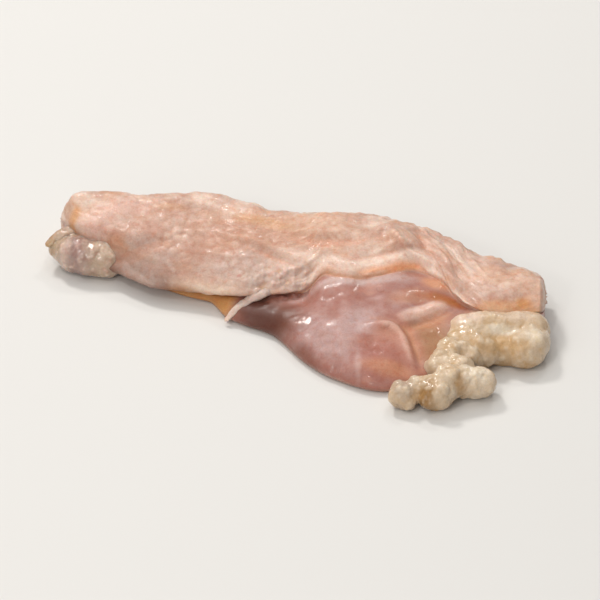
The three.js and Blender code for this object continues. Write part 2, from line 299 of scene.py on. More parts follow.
def open_curve(knots: np.ndarray, t: np.ndarray) -> np.ndarray:
    """A Catmull-Rom curve through open knots, its end slopes along the first and last chords.

    Args:
        knots: The knots, shaped (knots, values).
        t: Shares of the whole curve, from 0 to 1.

    Returns:
        The places at t, shaped (len(t), values).
    """
    padded = np.vstack([2 * knots[0] - knots[1], knots, 2 * knots[-1] - knots[-2]])
    place = np.clip(t, 0, 1) * (len(knots) - 1)
    i = np.minimum(place.astype(int), len(knots) - 2)
    p0, p1, p2, p3 = (padded[i + k] for k in range(4))
    return hermite(p1, p2, (p2 - p0) / 2, (p3 - p1) / 2, (place - i)[:, None])


def line_distance(line: np.ndarray, x: np.ndarray, y: np.ndarray) -> tuple[np.ndarray, np.ndarray]:
    """Signed distance from plan points to a line of short straight pieces.

    Args:
        line: The line's points, shaped (points, 2).
        x: The plan points' x.
        y: The plan points' y.

    Returns:
        The distance, positive on the line's left, and the share of the line passed.
    """
    best = np.full(x.shape, 1e9)
    share = np.zeros(x.shape)
    for i, (a, b) in enumerate(zip(line[:-1], line[1:])):
        d = b - a
        t = np.clip(((x - a[0]) * d[0] + (y - a[1]) * d[1]) / (d @ d), 0, 1)
        ox, oy = x - a[0] - t * d[0], y - a[1] - t * d[1]
        distance = np.hypot(ox, oy) * np.where(d[0] * oy - d[1] * ox < 0, -1, 1)
        closer = np.abs(distance) < np.abs(best)
        best = np.where(closer, distance, best)
        share = np.where(closer, (i + t) / (len(line) - 1), share)
    return best, share


@dataclass(frozen=True)
class Rail:
    """A line along the piece, as knots of x followed by one or more values."""

    knots: Knots

    def at(self, x: np.ndarray, column: int = 1) -> np.ndarray:
        """The value at x: a cubic between knots, level beyond both ends.

        Args:
            x: Places along the piece.
            column: Which value of each knot is meant.

        Returns:
            The value at each place.
        """
        k = np.array([(knot[0], knot[column]) for knot in self.knots])
        chord = np.diff(k[:, 1]) / np.diff(k[:, 0])
        inner = (k[2:, 1] - k[:-2, 1]) / (k[2:, 0] - k[:-2, 0])
        slope = np.concatenate([chord[:1], inner, chord[-1:]])
        x = np.clip(x, k[0, 0], k[-1, 0])
        i = np.clip(np.searchsorted(k[:, 0], x, side="right") - 1, 0, len(k) - 2)
        width = k[i + 1, 0] - k[i, 0]
        t = (x - k[i, 0]) / width
        return hermite(k[i, 1], k[i + 1, 1], width * slope[i], width * slope[i + 1], t)


@dataclass(frozen=True)
class Fold:
    """A raised welt with a groove on its right-hand side, along a plan path."""

    path: Knots
    welt: float
    groove: float
    width: float

    def rise(self, x: np.ndarray, y: np.ndarray) -> np.ndarray:
        """Height at plan points: two bell curves across the path, fading to both of its ends.

        Args:
            x: The plan points' x.
            y: The plan points' y.

        Returns:
            The height in millimetres.
        """
        line = open_curve(np.array(self.path), np.linspace(0, 1, 25))
        distance, share = line_distance(line, x, y)
        fade = np.sin(np.pi * mix(0.08, 0.92, share))
        welt = np.exp(-(((distance - 0.3 * self.width) / self.width) ** 2))
        groove = np.exp(-(((distance + 1.2 * self.width) / (0.7 * self.width)) ** 2))
        return fade * (self.welt * welt - self.groove * groove)


@dataclass(frozen=True)
class Spot:
    """A soft-edged patch of colour, an ellipse in plan."""

    x: float
    y: float
    length: float
    width: float
    turn: float
    tone: Tone
    strength: float
    layer: Layer = Layer.OUTER

    def cover(self, x: np.ndarray, y: np.ndarray) -> np.ndarray:
        """How much of its colour lies at plan points: exp(-r^4), r being 1 on the ellipse.

        Args:
            x: The plan points' x.
            y: The plan points' y.

        Returns:
            The cover, from 0 to its strength.
        """
        turn = np.radians(self.turn)
        along = (x - self.x) * np.cos(turn) + (y - self.y) * np.sin(turn)
        across = (y - self.y) * np.cos(turn) - (x - self.x) * np.sin(turn)
        return self.strength * np.exp(-(((along / self.length) ** 2 + (across / self.width) ** 2) ** 2))


@dataclass(frozen=True)
class Band:
    """A soft stripe of colour that runs along the sheet at one place of its section."""

    place: float
    width: float
    start: float
    end: float
    fade: float
    tone: Tone
    strength: float

    def cover(self, x: np.ndarray, place: np.ndarray) -> np.ndarray:
        """How much of its colour lies at each point: a bell curve across, rising and falling along.

        Args:
            x: The points' x.
            place: The points' place in the section, in spans.

        Returns:
            The cover, from 0 to its strength.
        """
        across = np.exp(-(((place - self.place) / self.width) ** 2))
        along = smooth_step(x, self.start, self.start + self.fade)
        return self.strength * across * along * (1 - smooth_step(x, self.end - self.fade, self.end))


def blend_tone(colour: np.ndarray, tone: Tone, cover: np.ndarray) -> np.ndarray:
    """Lays a tone over colours, as much of it as cover says."""
    return mix(colour, np.array(tone.value), np.clip(cover, 0, 1)[..., None])


@dataclass
class Surface:
    """A closed surface as rings of points, with what its finish needs at each point."""

    name: str
    rings: np.ndarray
    tone: np.ndarray
    wet: np.ndarray
    grain: np.ndarray

    def normals(self) -> np.ndarray:
        """Outward unit normals: the cross product of the steps along and around the rings.

        Returns:
            One normal for each point.
        """
        along = np.gradient(self.rings, axis=0)
        around = np.roll(self.rings, -1, axis=1) - np.roll(self.rings, 1, axis=1)
        normal = np.cross(along, around)
        normal /= np.maximum(np.linalg.norm(normal, axis=-1, keepdims=True), 1e-9)
        middle = self.rings.mean(axis=1, keepdims=True)
        outward = np.sum(normal * (self.rings - middle))
        return normal if outward > 0 else -normal

    def faces(self) -> tuple[np.ndarray, np.ndarray]:
        """Corner numbers: a fan at each end, and a four-sided face between neighbours elsewhere.

        Returns:
            The three-cornered faces and the four-cornered faces.
        """
        rows, sides = self.rings.shape[:2]
        number = 1 + np.arange(rows * sides).reshape(rows, sides)
        after = np.roll(number, -1, axis=1)
        quads = np.stack([number[:-1], number[1:], after[1:], after[:-1]], axis=-1).reshape(-1, 4)
        last = rows * sides + 1
        head = np.stack([np.zeros(sides, int), number[0], after[0]], axis=-1)
        tail = np.stack([np.full(sides, last), after[-1], number[-1]], axis=-1)
        return np.concatenate([head, tail]), quads

    def to_object(self, material: bpy.types.Material) -> bpy.types.Object:
        """Makes the Blender object, in the frame and in metres, and puts it on the frame's body.

        Args:
            material: The finish.

        Returns:
            The object, at the origin, with its place in its mesh.
        """
        ends = [self.rings[0].mean(axis=0), self.rings[-1].mean(axis=0)]
        points = np.vstack([ends[0], self.rings.reshape(-1, 3), ends[1]])
        fans, quads = self.faces()
        a, b, c = (points[fans[:, k]] for k in range(3))
        p, q, r, s = (points[quads[:, k]] for k in range(4))
        volume = np.sum(a * np.cross(b, c)) + np.sum(p * np.cross(q, r)) + np.sum(p * np.cross(r, s))
        if volume < 0:
            fans, quads = fans[:, ::-1], quads[:, ::-1]
        mesh = bpy.data.meshes.new(self.name)
        mesh.vertices.add(len(points))
        mesh.vertices.foreach_set("co", ((points - CENTRE) * MM).astype(np.float32).ravel())
        corners = np.concatenate([fans.ravel(), quads.ravel()])
        sizes = np.concatenate([np.full(len(fans), 3), np.full(len(quads), 4)])
        mesh.loops.add(len(corners))
        mesh.loops.foreach_set("vertex_index", corners.astype(np.int32))
        mesh.polygons.add(len(sizes))
        starts = np.concatenate([[0], np.cumsum(sizes)[:-1]])
        mesh.polygons.foreach_set("loop_start", starts.astype(np.int32))
        mesh.update(calc_edges=True)
        mesh.validate()
        mesh.shade_smooth()
        self._paint(mesh)
        mesh.materials.append(material)
        piece = bpy.data.objects.new(self.name, mesh)
        bpy.context.scene.collection.objects.link(piece)
        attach(piece, "root")
        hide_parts(NODE)
        LOG.info("%s: %d points, %d faces", self.name, len(points), len(sizes))
        return piece

    def _paint(self, mesh: bpy.types.Mesh) -> None:
        """Stores the colour, wetness and grain of each point, the end points taking their ring's mean.

        Args:
            mesh: The mesh that takes them.
        """

        def whole(values: np.ndarray) -> np.ndarray:
            """Adds the two end points' values to those of the rings."""
            flat = values.reshape(-1, *values.shape[2:])
            return np.concatenate([values[0].mean(axis=0)[None], flat, values[-1].mean(axis=0)[None]])

        colour = whole(self.tone)
        rgba = np.hstack([np.clip(colour, 0, 1), np.ones((len(colour), 1))])
        mesh.attributes.new("tone", "FLOAT_COLOR", "POINT").data.foreach_set("color", rgba.ravel())
        for name, values in (("wet", self.wet), ("grain", self.grain)):
            stored = mesh.attributes.new(name, "FLOAT", "POINT")
            stored.data.foreach_set("value", whole(values).astype(np.float32))


@dataclass
class FoldedSheet:
    """The skin itself: a thick sheet folded over on itself, as sections along its length."""

    left_end: float = -69.0
    right_end: float = 68.2
    left_rounding: float = 6.0
    right_rounding: float = 1.8
    end_height: float = 6.0
    edge_tuck: float = 3.5
    back_span: float = 10.0
    sunk: float = 1.2
    cap_rows: int = 22
    body_rows: int = 350
    span_steps: tuple[int, ...] = (3, 14, 22, 22, 14, 8, 8, 10, 24, 28, 26, 16, 14, 8, 3, 3, 3)
    front: Rail = Rail((
        (-69, 34, 0.8), (-54, 22.5, 0.8), (-40, 13, 0.8), (-32.5, 8.6, 1), (-28, 6.6, 1.2),
        (-24.5, 5.0, 1.4), (-22.5, 2.2, 1.5), (-20.5, -1.4, 1.6), (-18.4, -3.8, 1.8), (-14, -6.8, 2),
        (-6, -11.5, 1.8),
        (3, -24, 1.8), (11, -31.5, 1.8), (24, -37, 1.8), (35, -33.5, 2.4), (47, -25, 3), (68, -12, 5),
    ))
    lip: Rail = Rail((
        (-69, 27, 9), (-61, 17.5, 8.6), (-54, 15, 8.4), (-41, 6.5, 8), (-31, 4.6, 6.8), (-25, 3.2, 6.6),
        (-17, -0.4, 8.4), (-12, -1.0, 8.8), (-6, -0.8, 9.4), (0, 0, 10), (2.4, 0.8, 10.6), (6.8, 4.4, 14.4),
        (10.5, 2.8, 15.2), (16, 1.8, 15.4), (22, 3.4, 15.4), (28, 6, 15.4), (32.5, 7.2, 15.2),
        (37, 4.8, 14.6), (40.5, 1, 13.6), (43.5, -3.8, 12.4), (47, -7.6, 11.4), (53, -11, 10.8),
        (68, -8.5, 10.2),
    ))
    ridge: Rail = Rail((
        (-69, 31.2, 16), (-64, 33, 17.8), (-41, 33, 18.5), (-24, 31, 19.3), (-6, 24.5, 19.2),
        (19, 24.3, 18.6), (36, 20, 16.4), (50, 10.2, 14.8), (61, 5, 14), (68, 0.8, 13.6),
    ))
    lip_thickness: Rail = Rail((
        (-69, 7), (-54, 6.4), (-41, 5.6), (-31, 3.4), (-25, 2.8), (-8, 2.4), (2.6, 2.2), (6, 2.3), (30, 2.3),
        (36, 2.4), (41, 2), (46, 1.4), (53, 0.9), (68, 0.9),
    ))
    crease: Rail = Rail((
        (-69, 5), (-26, 5), (-14, 2.8), (-2, 1.2), (6, -1.1), (38, -1.1), (47, 0.6), (68, 0.4),
    ))
    hook: Rail = Rail(((-69, 0.7), (-14, 0.7), (-2, 0.4), (6, -0.3), (38, -0.3), (47, 0.4), (68, 0.7)))
    brow: Rail = Rail(((-69, 0.7), (0, 0.7), (9, 1.35), (32, 1.35), (44, 0.7), (68, 0.7)))
    crown: Rail = Rail(((-60, 0), (-20, 0.6), (0, 2.4), (22, 3.4), (34, 2.4), (50, 3), (68, 2.4)))
    bumpiness: Rail = Rail(((-69, 1), (-45, 1.4), (-25, 1.1), (0, 0.8), (30, 0.8), (50, 0.6), (68, 0.4)))
    folds: tuple[Fold, ...] = (
        Fold(((-18, 15.8), (-12, 13.4), (-5, 9.9), (2, 6.8), (7, 5.8)), 1.0, 0.4, 1.5),
        Fold(((34, 10.2), (28, 8.2), (22, 5.8), (16, 4.4), (8, 6.4)), 0.35, 0.5, 1.5),
        Fold(((24, 18), (27, 12.8), (30.5, 9.8), (36, 7.2), (40.5, 3.0), (43.8, -2.4)), 1.7, 0.0, 1.3),
        Fold(((35, 19), (38.7, 10.5), (41.4, 6), (47, 2.5)), 0.9, 1.0, 2.2),
        Fold(((-62, 24), (-48, 18), (-36, 19)), 0.7, 0.7, 2.4),
        Fold(((-4, 19), (8, 15), (20, 16)), 0.7, 0.6, 2.4),
        Fold(((27, -17.5), (32, -14), (37, -10.5), (42, -6)), 1.3, 0.7, 2.4),
        Fold(((34, -33), (32, -27), (29.5, -20.5), (25.5, -17.5), (18.5, -17.5)), 0.9, 0.6, 1.5),
    )
    wrinkle_lean: float = -48.0
    torn_width: float = 3.2
    scallop_height: float = 0.9
    scallop_spacing: tuple[float, float, float] = (3.6, 3.2, 1)
    follicle_spacing: tuple[float, float, float] = (3.3, 2.9, 1)
    pore_spacing: tuple[float, float, float] = (1.7, 1.5, 1)
    wave_grains: tuple[Grain, ...] = (Grain(9, 0.65, Seed.WAVE), Grain(4.5, 0.4, Seed.WAVELET))
    ripple_grains: tuple[Grain, ...] = (
        Grain((6.5, 4, 1), 0.2, Seed.RIPPLE), Grain((2.4, 1.7, 1), 0.09, Seed.RIPPLET),
        Grain((0.9, 0.7, 1), 0.03, Seed.SHIMMER),
    )
    mottle_grains: tuple[Grain, ...] = (
        Grain((7, 4.4, 1), 1, Seed.MOTTLE), Grain((3, 2.2, 1), 0.6, Seed.MOTTLE_FINE),
    )
    warm_grains: tuple[Grain, ...] = (
        Grain((9, 3.6, 1), 1, Seed.WARM), Grain((3.4, 1.8, 1), 0.5, Seed.WARM_FINE),
    )
    inner_grains: tuple[Grain, ...] = (
        Grain((7, 4, 4), 1, Seed.INNER), Grain((2.5, 1.8, 2), 0.5, Seed.INNER_FINE),
    )
    gleams: tuple[Spot, ...] = (
        Spot(4, -16.5, 7.5, 3.6, -60, Tone.PALE_AND_HIGHLIGHT, 1.0),
        Spot(10, -28, 6, 3.4, -75, Tone.PALE_AND_HIGHLIGHT, 1.0),
        Spot(19, -25, 6.5, 2.4, -32, Tone.PALE_AND_HIGHLIGHT, 0.8),
        Spot(23, -3.5, 1.6, 2.4, 0, Tone.PALE_AND_HIGHLIGHT, 0.7),
        Spot(38, -10.5, 4.5, 1.6, 36, Tone.PALE_AND_HIGHLIGHT, 0.7),
    )
    bands: tuple[Band, ...] = (
        Band(7.0, 1.15, -70, -31, 7, Tone.SHADED, 1.0),
        # Grey-lilac on the left roll's underside, partly painted shade.
        Band(7.25, 0.5, -53, -36, 5, Tone.GREY_AND_SHADE, 0.65),
        Band(6.8, 0.9, -38, -24, 5, Tone.TAN, 0.9),
        Band(5.9, 0.7, -30, -14, 5, Tone.OCHRE, 0.8),
        # Painted shade in the slit under the torn lip.
        Band(5.1, 0.5, -12, 4, 3, Tone.SLIT_SHADE, 0.9),
        Band(7.4, 0.6, -34, -13, 8, Tone.RIM, 0.9),
        # Painted shade in the slit under the torn lip.
        Band(6.25, 0.65, -13, 4, 4, Tone.SLIT_SHADE, 1.0),
        # Painted shade: salmon line along the crease where the lip meets the membrane.
        Band(5.45, 0.4, 2, 50, 6, Tone.SALMON_AND_SHADE, 0.8),
        # Painted shade on the lip's underside near the crease.
        Band(6.15, 0.45, -6, 36, 6, Tone.UMBER_AND_SHADE, 0.75),
        Band(6.5, 0.7, 22, 37, 5, Tone.ORANGE, 0.9),
        Band(7.0, 0.42, 14, 33, 6, Tone.ORANGE, 0.75),
        # Painted highlight along the lip's crest.
        Band(7.75, 0.45, 14, 38, 5, Tone.PALE_AND_HIGHLIGHT, 0.9),
        # Painted highlight along the lip's edge on the right.
        Band(7.05, 0.5, 33, 50, 4, Tone.PALE_AND_HIGHLIGHT, 0.9),
        Band(8.7, 0.45, 22, 46, 6, Tone.BLUSH_AND_CREASE_SHADE, 0.6),
        Band(6.6, 0.9, 50, 68, 4, Tone.AMBER, 0.8),
    )
    torn_path: Knots = ((-16, 1.6), (-10, 2.0), (-4, 2.4), (3, 3.2))
    spots: tuple[Spot, ...] = (
        Spot(-38, 24, 15, 6, 0, Tone.BLUSH_AND_CREASE_SHADE, 0.5),
        Spot(-14, 14.5, 13, 7.5, -5, Tone.SALMON_AND_SHADE, 0.45),
        Spot(-20, 12, 22, 9, -8, Tone.BLUSH_AND_CREASE_SHADE, 0.35),
        Spot(-12, 17, 12, 6, -10, Tone.BLUSH_AND_CREASE_SHADE, 0.45),
        Spot(-15, 7.5, 9, 6, 0, Tone.GREY_AND_SHADE, 0.7),
        Spot(-50, 20.5, 5, 2.4, 5, Tone.BLUSH_AND_CREASE_SHADE, 0.6),
        Spot(-41, 19.6, 5, 3, -10, Tone.BLUSH_AND_CREASE_SHADE, 0.55),
        Spot(-30, 13.7, 6, 3, -15, Tone.BLUSH_AND_CREASE_SHADE, 0.7),
        Spot(-17, 20, 7, 2.2, -3, Tone.BLUSH_AND_CREASE_SHADE, 0.6),
        Spot(-6, 16.5, 8, 2.4, -8, Tone.BLUSH_AND_CREASE_SHADE, 0.6),
        # The next four spots: salmon painted shade along grooves.
        Spot(8, 12, 8, 3, -5, Tone.BLUSH_AND_CREASE_SHADE, 0.5),
        Spot(31, 13.5, 3, 1.6, -60, Tone.BLUSH_AND_CREASE_SHADE, 0.5),
        Spot(38, 6, 8, 1.4, -55, Tone.BLUSH_AND_CREASE_SHADE, 0.8),
        Spot(49.5, -2.5, 5, 1.6, -20, Tone.BLUSH_AND_CREASE_SHADE, 0.5),
        Spot(-57, 24, 6, 4, 10, Tone.PINK, 0.6),
        Spot(-49, 28.5, 8, 3, 0, Tone.PINK, 0.6),
        Spot(3, 19, 14, 4, -3, Tone.PEACH, 0.6),
        Spot(-6, 17, 18, 7, -5, Tone.RUSSET, 0.35),
        Spot(14, 13, 14, 4, -4, Tone.RUSSET, 0.25),
        Spot(20, 9, 9, 4, -8, Tone.PALE_AND_HIGHLIGHT, 0.45),
        # Painted highlight on the lip's face.
        Spot(4, 7.5, 11, 2.2, -14, Tone.PALE_AND_HIGHLIGHT, 0.85),
        # Painted highlight on the lip's face.
        Spot(20, 4.2, 12, 2.2, 12, Tone.PALE_AND_HIGHLIGHT, 0.75),
        Spot(-7, 2.2, 9, 3, 4, Tone.PINK, 0.8),
        # Painted highlight on the lip's face.
        Spot(20, 2.6, 12, 1.8, 8, Tone.PALE_AND_HIGHLIGHT, 0.8),
        # Painted highlight on the lip's face.
        Spot(34, 8.4, 11, 2.2, -48, Tone.PALE_AND_HIGHLIGHT, 0.85),
        Spot(55, -6, 9, 4, -14, Tone.BLUSH_AND_CREASE_SHADE, 0.3),
        Spot(-25, 9, 6, 4, -20, Tone.GREY_AND_SHADE, 0.5),
        # Grey on the left roll's underside, partly painted shade.
        Spot(-42, 13.5, 9, 3.5, -25, Tone.GREY_AND_SHADE, 0.6),
        Spot(-11, 21, 8, 1.8, -18, Tone.OCHRE, 0.7),
        Spot(-37, 27.8, 5, 1.2, -8, Tone.OCHRE, 0.4),
        Spot(57, -9.3, 11, 1.8, 5, Tone.AMBER, 0.6),
        Spot(62, -7.4, 2.4, 1.5, 15, Tone.AMBER, 0.85),
        Spot(63, -1.5, 7, 4, -10, Tone.PEACH, 0.5),
        Spot(-64.2, 27, 1.7, 2.6, -20, Tone.AMBER, 0.75),
        # Painted shade in the valley between the skin and the end bulge.
        Spot(-51.5, 18.5, 4.5, 1.1, -38, Tone.UMBER_AND_SHADE, 0.6),
        # Grey on the left roll's underside, partly painted shade.
        Spot(-45, 11, 6, 2.4, -30, Tone.GREY_AND_SHADE, 0.5),
        Spot(-13.5, 2.5, 5, 3.4, 0, Tone.ASH, 0.9),
        Spot(-16.4, 4, 0.6, 0.5, 0, Tone.BLOOD, 0.85),
        Spot(-5.8, 4.6, 1.3, 0.6, 10, Tone.OCHRE, 0.6),
        Spot(-29, 7, 10, 4.2, -25, Tone.DEEP, 0.95, Layer.MEMBRANE),
        Spot(-20.5, 0.5, 4, 3.4, -50, Tone.DEEP, 0.95, Layer.MEMBRANE),
        # Purple membrane, darkened as painted shade under the lip's overhang.
        Spot(-6, -8, 11, 6, -35, Tone.PLUM_AND_SHADE, 0.95, Layer.MEMBRANE),
        Spot(9, -21, 12, 5, -48, Tone.LILAC, 0.75, Layer.MEMBRANE),
        Spot(2, -24, 9, 2.6, -50, Tone.PLUM_AND_SHADE, 0.6, Layer.MEMBRANE),
        # Painted shade at the membrane's foot under the lip.
        Spot(-10, -6.4, 9, 4, -42, Tone.MEMBRANE_FOOT_SHADE, 0.85, Layer.MEMBRANE),
        Spot(3.4, -3.4, 2.4, 2, 0, Tone.MAUVE, 0.8, Layer.MEMBRANE),
        Spot(11, -6, 6, 3.4, -20, Tone.MAUVE, 0.8, Layer.MEMBRANE),
        Spot(37.5, -22, 6.4, 9, 30, Tone.TAN, 0.95, Layer.MEMBRANE),
        Spot(9, -8, 8, 4.5, 0, Tone.MAUVE, 0.85, Layer.MEMBRANE),
        Spot(17.5, -16.5, 6, 5, 30, Tone.LILAC, 0.8, Layer.MEMBRANE),
        # Painted highlight on the membrane's top just under the lip.
        Spot(18, 0.8, 15, 2.6, 6, Tone.HAZE_HIGHLIGHT, 0.85, Layer.MEMBRANE),
        # Painted shade in the hollow under the diagonal ridge's lip.
        Spot(38, 0.8, 4.4, 2.2, -28, Tone.UMBER_AND_SHADE, 0.95, Layer.BOTH),
        Spot(26.5, -25, 5.4, 8.5, 12, Tone.LEAN, 0.9, Layer.MEMBRANE),
        Spot(31.5, -22, 3.5, 8, 25, Tone.LEAN, 0.6, Layer.MEMBRANE),
        # Painted highlight on the membrane's folded strip.
        Spot(37, -10, 7, 2.6, 40, Tone.FOLD_HIGHLIGHT, 0.9, Layer.MEMBRANE),
        # Painted shade on the membrane in that hollow.
        Spot(31, -6, 6, 3, 20, Tone.UMBER_AND_SHADE, 0.5, Layer.MEMBRANE),
        Spot(23.5, -28.5, 7.5, 6.5, 10, Tone.FLESH, 0.85, Layer.MEMBRANE),
        # Painted shade: dark line below the diagonal ridge's lip.
        Spot(40.5, -5.2, 6, 2.4, -10, Tone.BROWN_LINE_SHADE, 1.0, Layer.MEMBRANE),
        Spot(26, -32, 8, 2.4, -8, Tone.UMBER_AND_SHADE, 0.6, Layer.MEMBRANE),
        Spot(38, -13.5, 4, 5, -30, Tone.UMBER_AND_SHADE, 0.5, Layer.MEMBRANE),
        Spot(55, -16, 11, 8, 0, Tone.FAT, 0.95, Layer.MEMBRANE),
        # Painted highlight on a fold edge of the membrane.
        Spot(17.8, -31, 0.9, 4.6, 4, Tone.HAZE_HIGHLIGHT, 0.35, Layer.MEMBRANE),
    )

    def stations(self) -> tuple[np.ndarray, np.ndarray]:
        """Places of the sections along the length, and how far each is drawn in at the rounded ends.

        The ends follow a quarter ellipse: the place moves with the cosine of a turn and the size with
        its sine.

        Returns:
            The x of each section and its size, from 0 to 1.
        """
        turn = np.arange(1, self.cap_rows + 1) / self.cap_rows * np.pi / 2
        start, end = self.left_end + self.left_rounding, self.right_end - self.right_rounding
        body = mix(start, end, np.arange(1, self.body_rows) / self.body_rows)
        x = np.concatenate([
            start - self.left_rounding * np.cos(turn), body, (end + self.right_rounding * np.cos(turn))[::-1],
        ])
        size = np.concatenate([np.sin(turn), np.ones(len(body)), np.sin(turn)[::-1]])
        return x, size

    def control_points(self, x: np.ndarray) -> np.ndarray:
        """Control points of the sections, from the front foot over the lip and the ridge to the rear.

        Args:
            x: Places of the sections.

        Returns:
            The points as y and z, shaped (sections, points, 2).
        """
        front = np.stack([self.front.at(x, 1), self.front.at(x, 2)], axis=-1)
        lip = np.stack([self.lip.at(x, 1), self.lip.at(x, 2)], axis=-1)
        ridge = np.stack([self.ridge.at(x, 1), self.ridge.at(x, 2)], axis=-1)
        thick, crown = self.lip_thickness.at(x), self.crown.at(x)
        root_y = np.maximum(lip[:, 0] + self.crease.at(x), front[:, 0] + 1)
        root = np.stack([root_y, lip[:, 1] - thick - 0.4], axis=-1)

        def shifted(point: np.ndarray, y: np.ndarray | float, z: np.ndarray | float) -> np.ndarray:
            """Moves points by y and z."""
            return np.stack([point[:, 0] + y, point[:, 1] + z], axis=-1)

        def level(y: np.ndarray) -> np.ndarray:
            """Puts points at y on the level that the base is cut at."""
            return np.stack([y, np.full_like(y, -self.sunk)], axis=-1)

        foot = front[:, 0] + self.edge_tuck
        heel = ridge[:, 0] + 0.85 * self.back_span
        return np.stack([
            level(foot),
            front,
            shifted(mix(front, root, 0.2), 0, 1.1 * crown),
            shifted(mix(front, root, 0.5), 0, crown),
            shifted(mix(front, root, 0.8), 0, 0.45 * crown),
            root,
            shifted(lip, self.hook.at(x) * thick, -thick),
            shifted(lip, 0, -0.5 * thick),
            shifted(lip, self.brow.at(x) * thick, 0.3),
            shifted(mix(lip, ridge, 0.38), 0, 1.2),
            shifted(mix(lip, ridge, 0.72), 0, 1.2),
            ridge,
            np.stack([ridge[:, 0] + 0.62 * self.back_span, 0.76 * ridge[:, 1]], axis=-1),
            np.stack([ridge[:, 0] + self.back_span, 0.34 * ridge[:, 1]], axis=-1),
            level(heel),
            level(mix(heel, foot, 0.33)),
            level(mix(heel, foot, 0.66)),
        ], axis=1)

    def span_place(self) -> np.ndarray:
        """Place of each ring point along the section, counted in spans."""
        return np.concatenate([span + np.arange(n) / n for span, n in enumerate(self.span_steps)])

    def plain_rings(self) -> np.ndarray:
        """Works out the sections without their relief.

        Returns:
            The points, shaped (sections, ring points, 3).
        """
        x, size = self.stations()
        control = self.control_points(x)
        ring = closed_curve(control, self.span_steps)
        middle = mix(control[:, 1, 0], control[:, 13, 0], 0.5)[:, None]
        y = mix(middle, ring[..., 0], size[:, None])
        z = mix(self.end_height, ring[..., 1], size[:, None])
        return np.stack([np.broadcast_to(x[:, None], y.shape), y, z], axis=-1)

    def build(self) -> Surface:
        """Works out the folded sheet with its relief and colours.

        Every point moves along its normal by the folds and waves of its plan place, by the follicle
        bumps and net of fine creases on the outer face, and by slow ripples on the membrane.

        Returns:
            The finished surface.
        """
        rings = self.plain_rings()
        place = np.broadcast_to(self.span_place(), rings.shape[:2])
        outer = smooth_step(place, 5.7, 6.5) * (1 - smooth_step(place, 13.6, 14.2))
        membrane = smooth_step(place, 0.2, 1.0) * (1 - smooth_step(place, 4.7, 5.4))
        surface = Surface("skin_fold", rings, np.zeros_like(rings), outer, outer)
        normal = surface.normals()
        x, y, z = rings[..., 0], rings[..., 1], rings[..., 2]
        flat = np.stack([x, y, np.zeros_like(x)], axis=-1)
        step = np.linalg.norm(np.diff(rings, axis=1, prepend=rings[:, :1]), axis=-1)
        around = np.cumsum(step, axis=1)
        nose = int(np.argmin(np.abs(self.span_place() - 7.0)))
        cloth = np.stack([x, around - around[:, nose : nose + 1], np.zeros_like(x)], axis=-1)

        folded = sum(fold.rise(x, y) for fold in self.folds)
        waves = layered(self.wave_grains, flat)
        upward = smooth_step(z, 1, 5) * np.maximum(0, normal[..., 2])
        bumps, net = self.follicles(cloth)
        wrinkles = self.wrinkles(cloth)
        strength = self.bumpiness.at(x)
        ripples = layered(self.ripple_grains, flat)
        gleam = np.max([spot.cover(x, y) for spot in self.gleams], axis=0)
        ripples = ripples * mix(0.45, 1.6, gleam) + 0.2 * gleam * noise(flat, (2.4, 1.8, 1), Seed.GLINT)
        torn_line = open_curve(np.array(self.torn_path), np.linspace(0, 1, 25))
        ragged = self.torn_width * (1 + 0.35 * noise(flat, 3.0, Seed.RAGGED))
        ends = smooth_step(x, -19, -9) * (1 - smooth_step(x, 1, 6))
        torn = ends * np.exp(-((line_distance(torn_line, x, y)[0] / ragged) ** 4))
        shreds = 1.9 * (0.5 - nearest_spots(flat / 3.0, Seed.SHRED)[0])
        shreds += 0.9 * (0.5 - nearest_spots(flat / 1.5, Seed.SHRED_FINE)[0])
        rows = np.exp(-(((place - 11.4) / 1.1) ** 2)) * smooth_step(x, -5, 20)
        scallops = self.scallop_height * (0.6 - nearest_spots(cloth / self.scallop_spacing, Seed.SCALLOP)[0])
        move = upward * (folded + waves + torn * shreds) + rows * scallops
        move += outer * (strength * bumps + wrinkles)
        behind = smooth_step(place, 10.9, 12.2) * (1 - smooth_step(place, 13.3, 14.0))
        rolls = 1 - np.abs(noise(cloth, (24, 5.5, 1), Seed.BACK_ROLL))
        slack = 1 - np.abs(noise(cloth, (9, 3.2, 1), Seed.BACK_SLACK))
        move += behind * smooth_step(z, 0.4, 3) * (1.5 * (rolls**2 - 0.45) + 0.5 * (slack**2 - 0.45))
        move += membrane * smooth_step(z, 0.6, 3) * ripples
        rings = rings + move[..., None] * normal
        rings[..., 2] = np.maximum(rings[..., 2], 0.0)
        surface.rings = rings
        surface.tone = self.colours(rings, cloth, place, outer, membrane, bumps, net, wrinkles, folded)
        surface.tone = blend_tone(surface.tone, Tone.TORN, outer * 0.6 * torn)
        # Painted shade: ochre in the hollows between the torn shreds.
        hollow = smooth_step(-shreds, 0.0, 0.6)
        surface.tone = blend_tone(surface.tone, Tone.OCHRE, outer * torn * 0.6 * hollow)
        surface.wet = np.clip(membrane * mix(0.1, 1.0, gleam) + 0.05, 0, 1)
        surface.grain = outer
        return surface

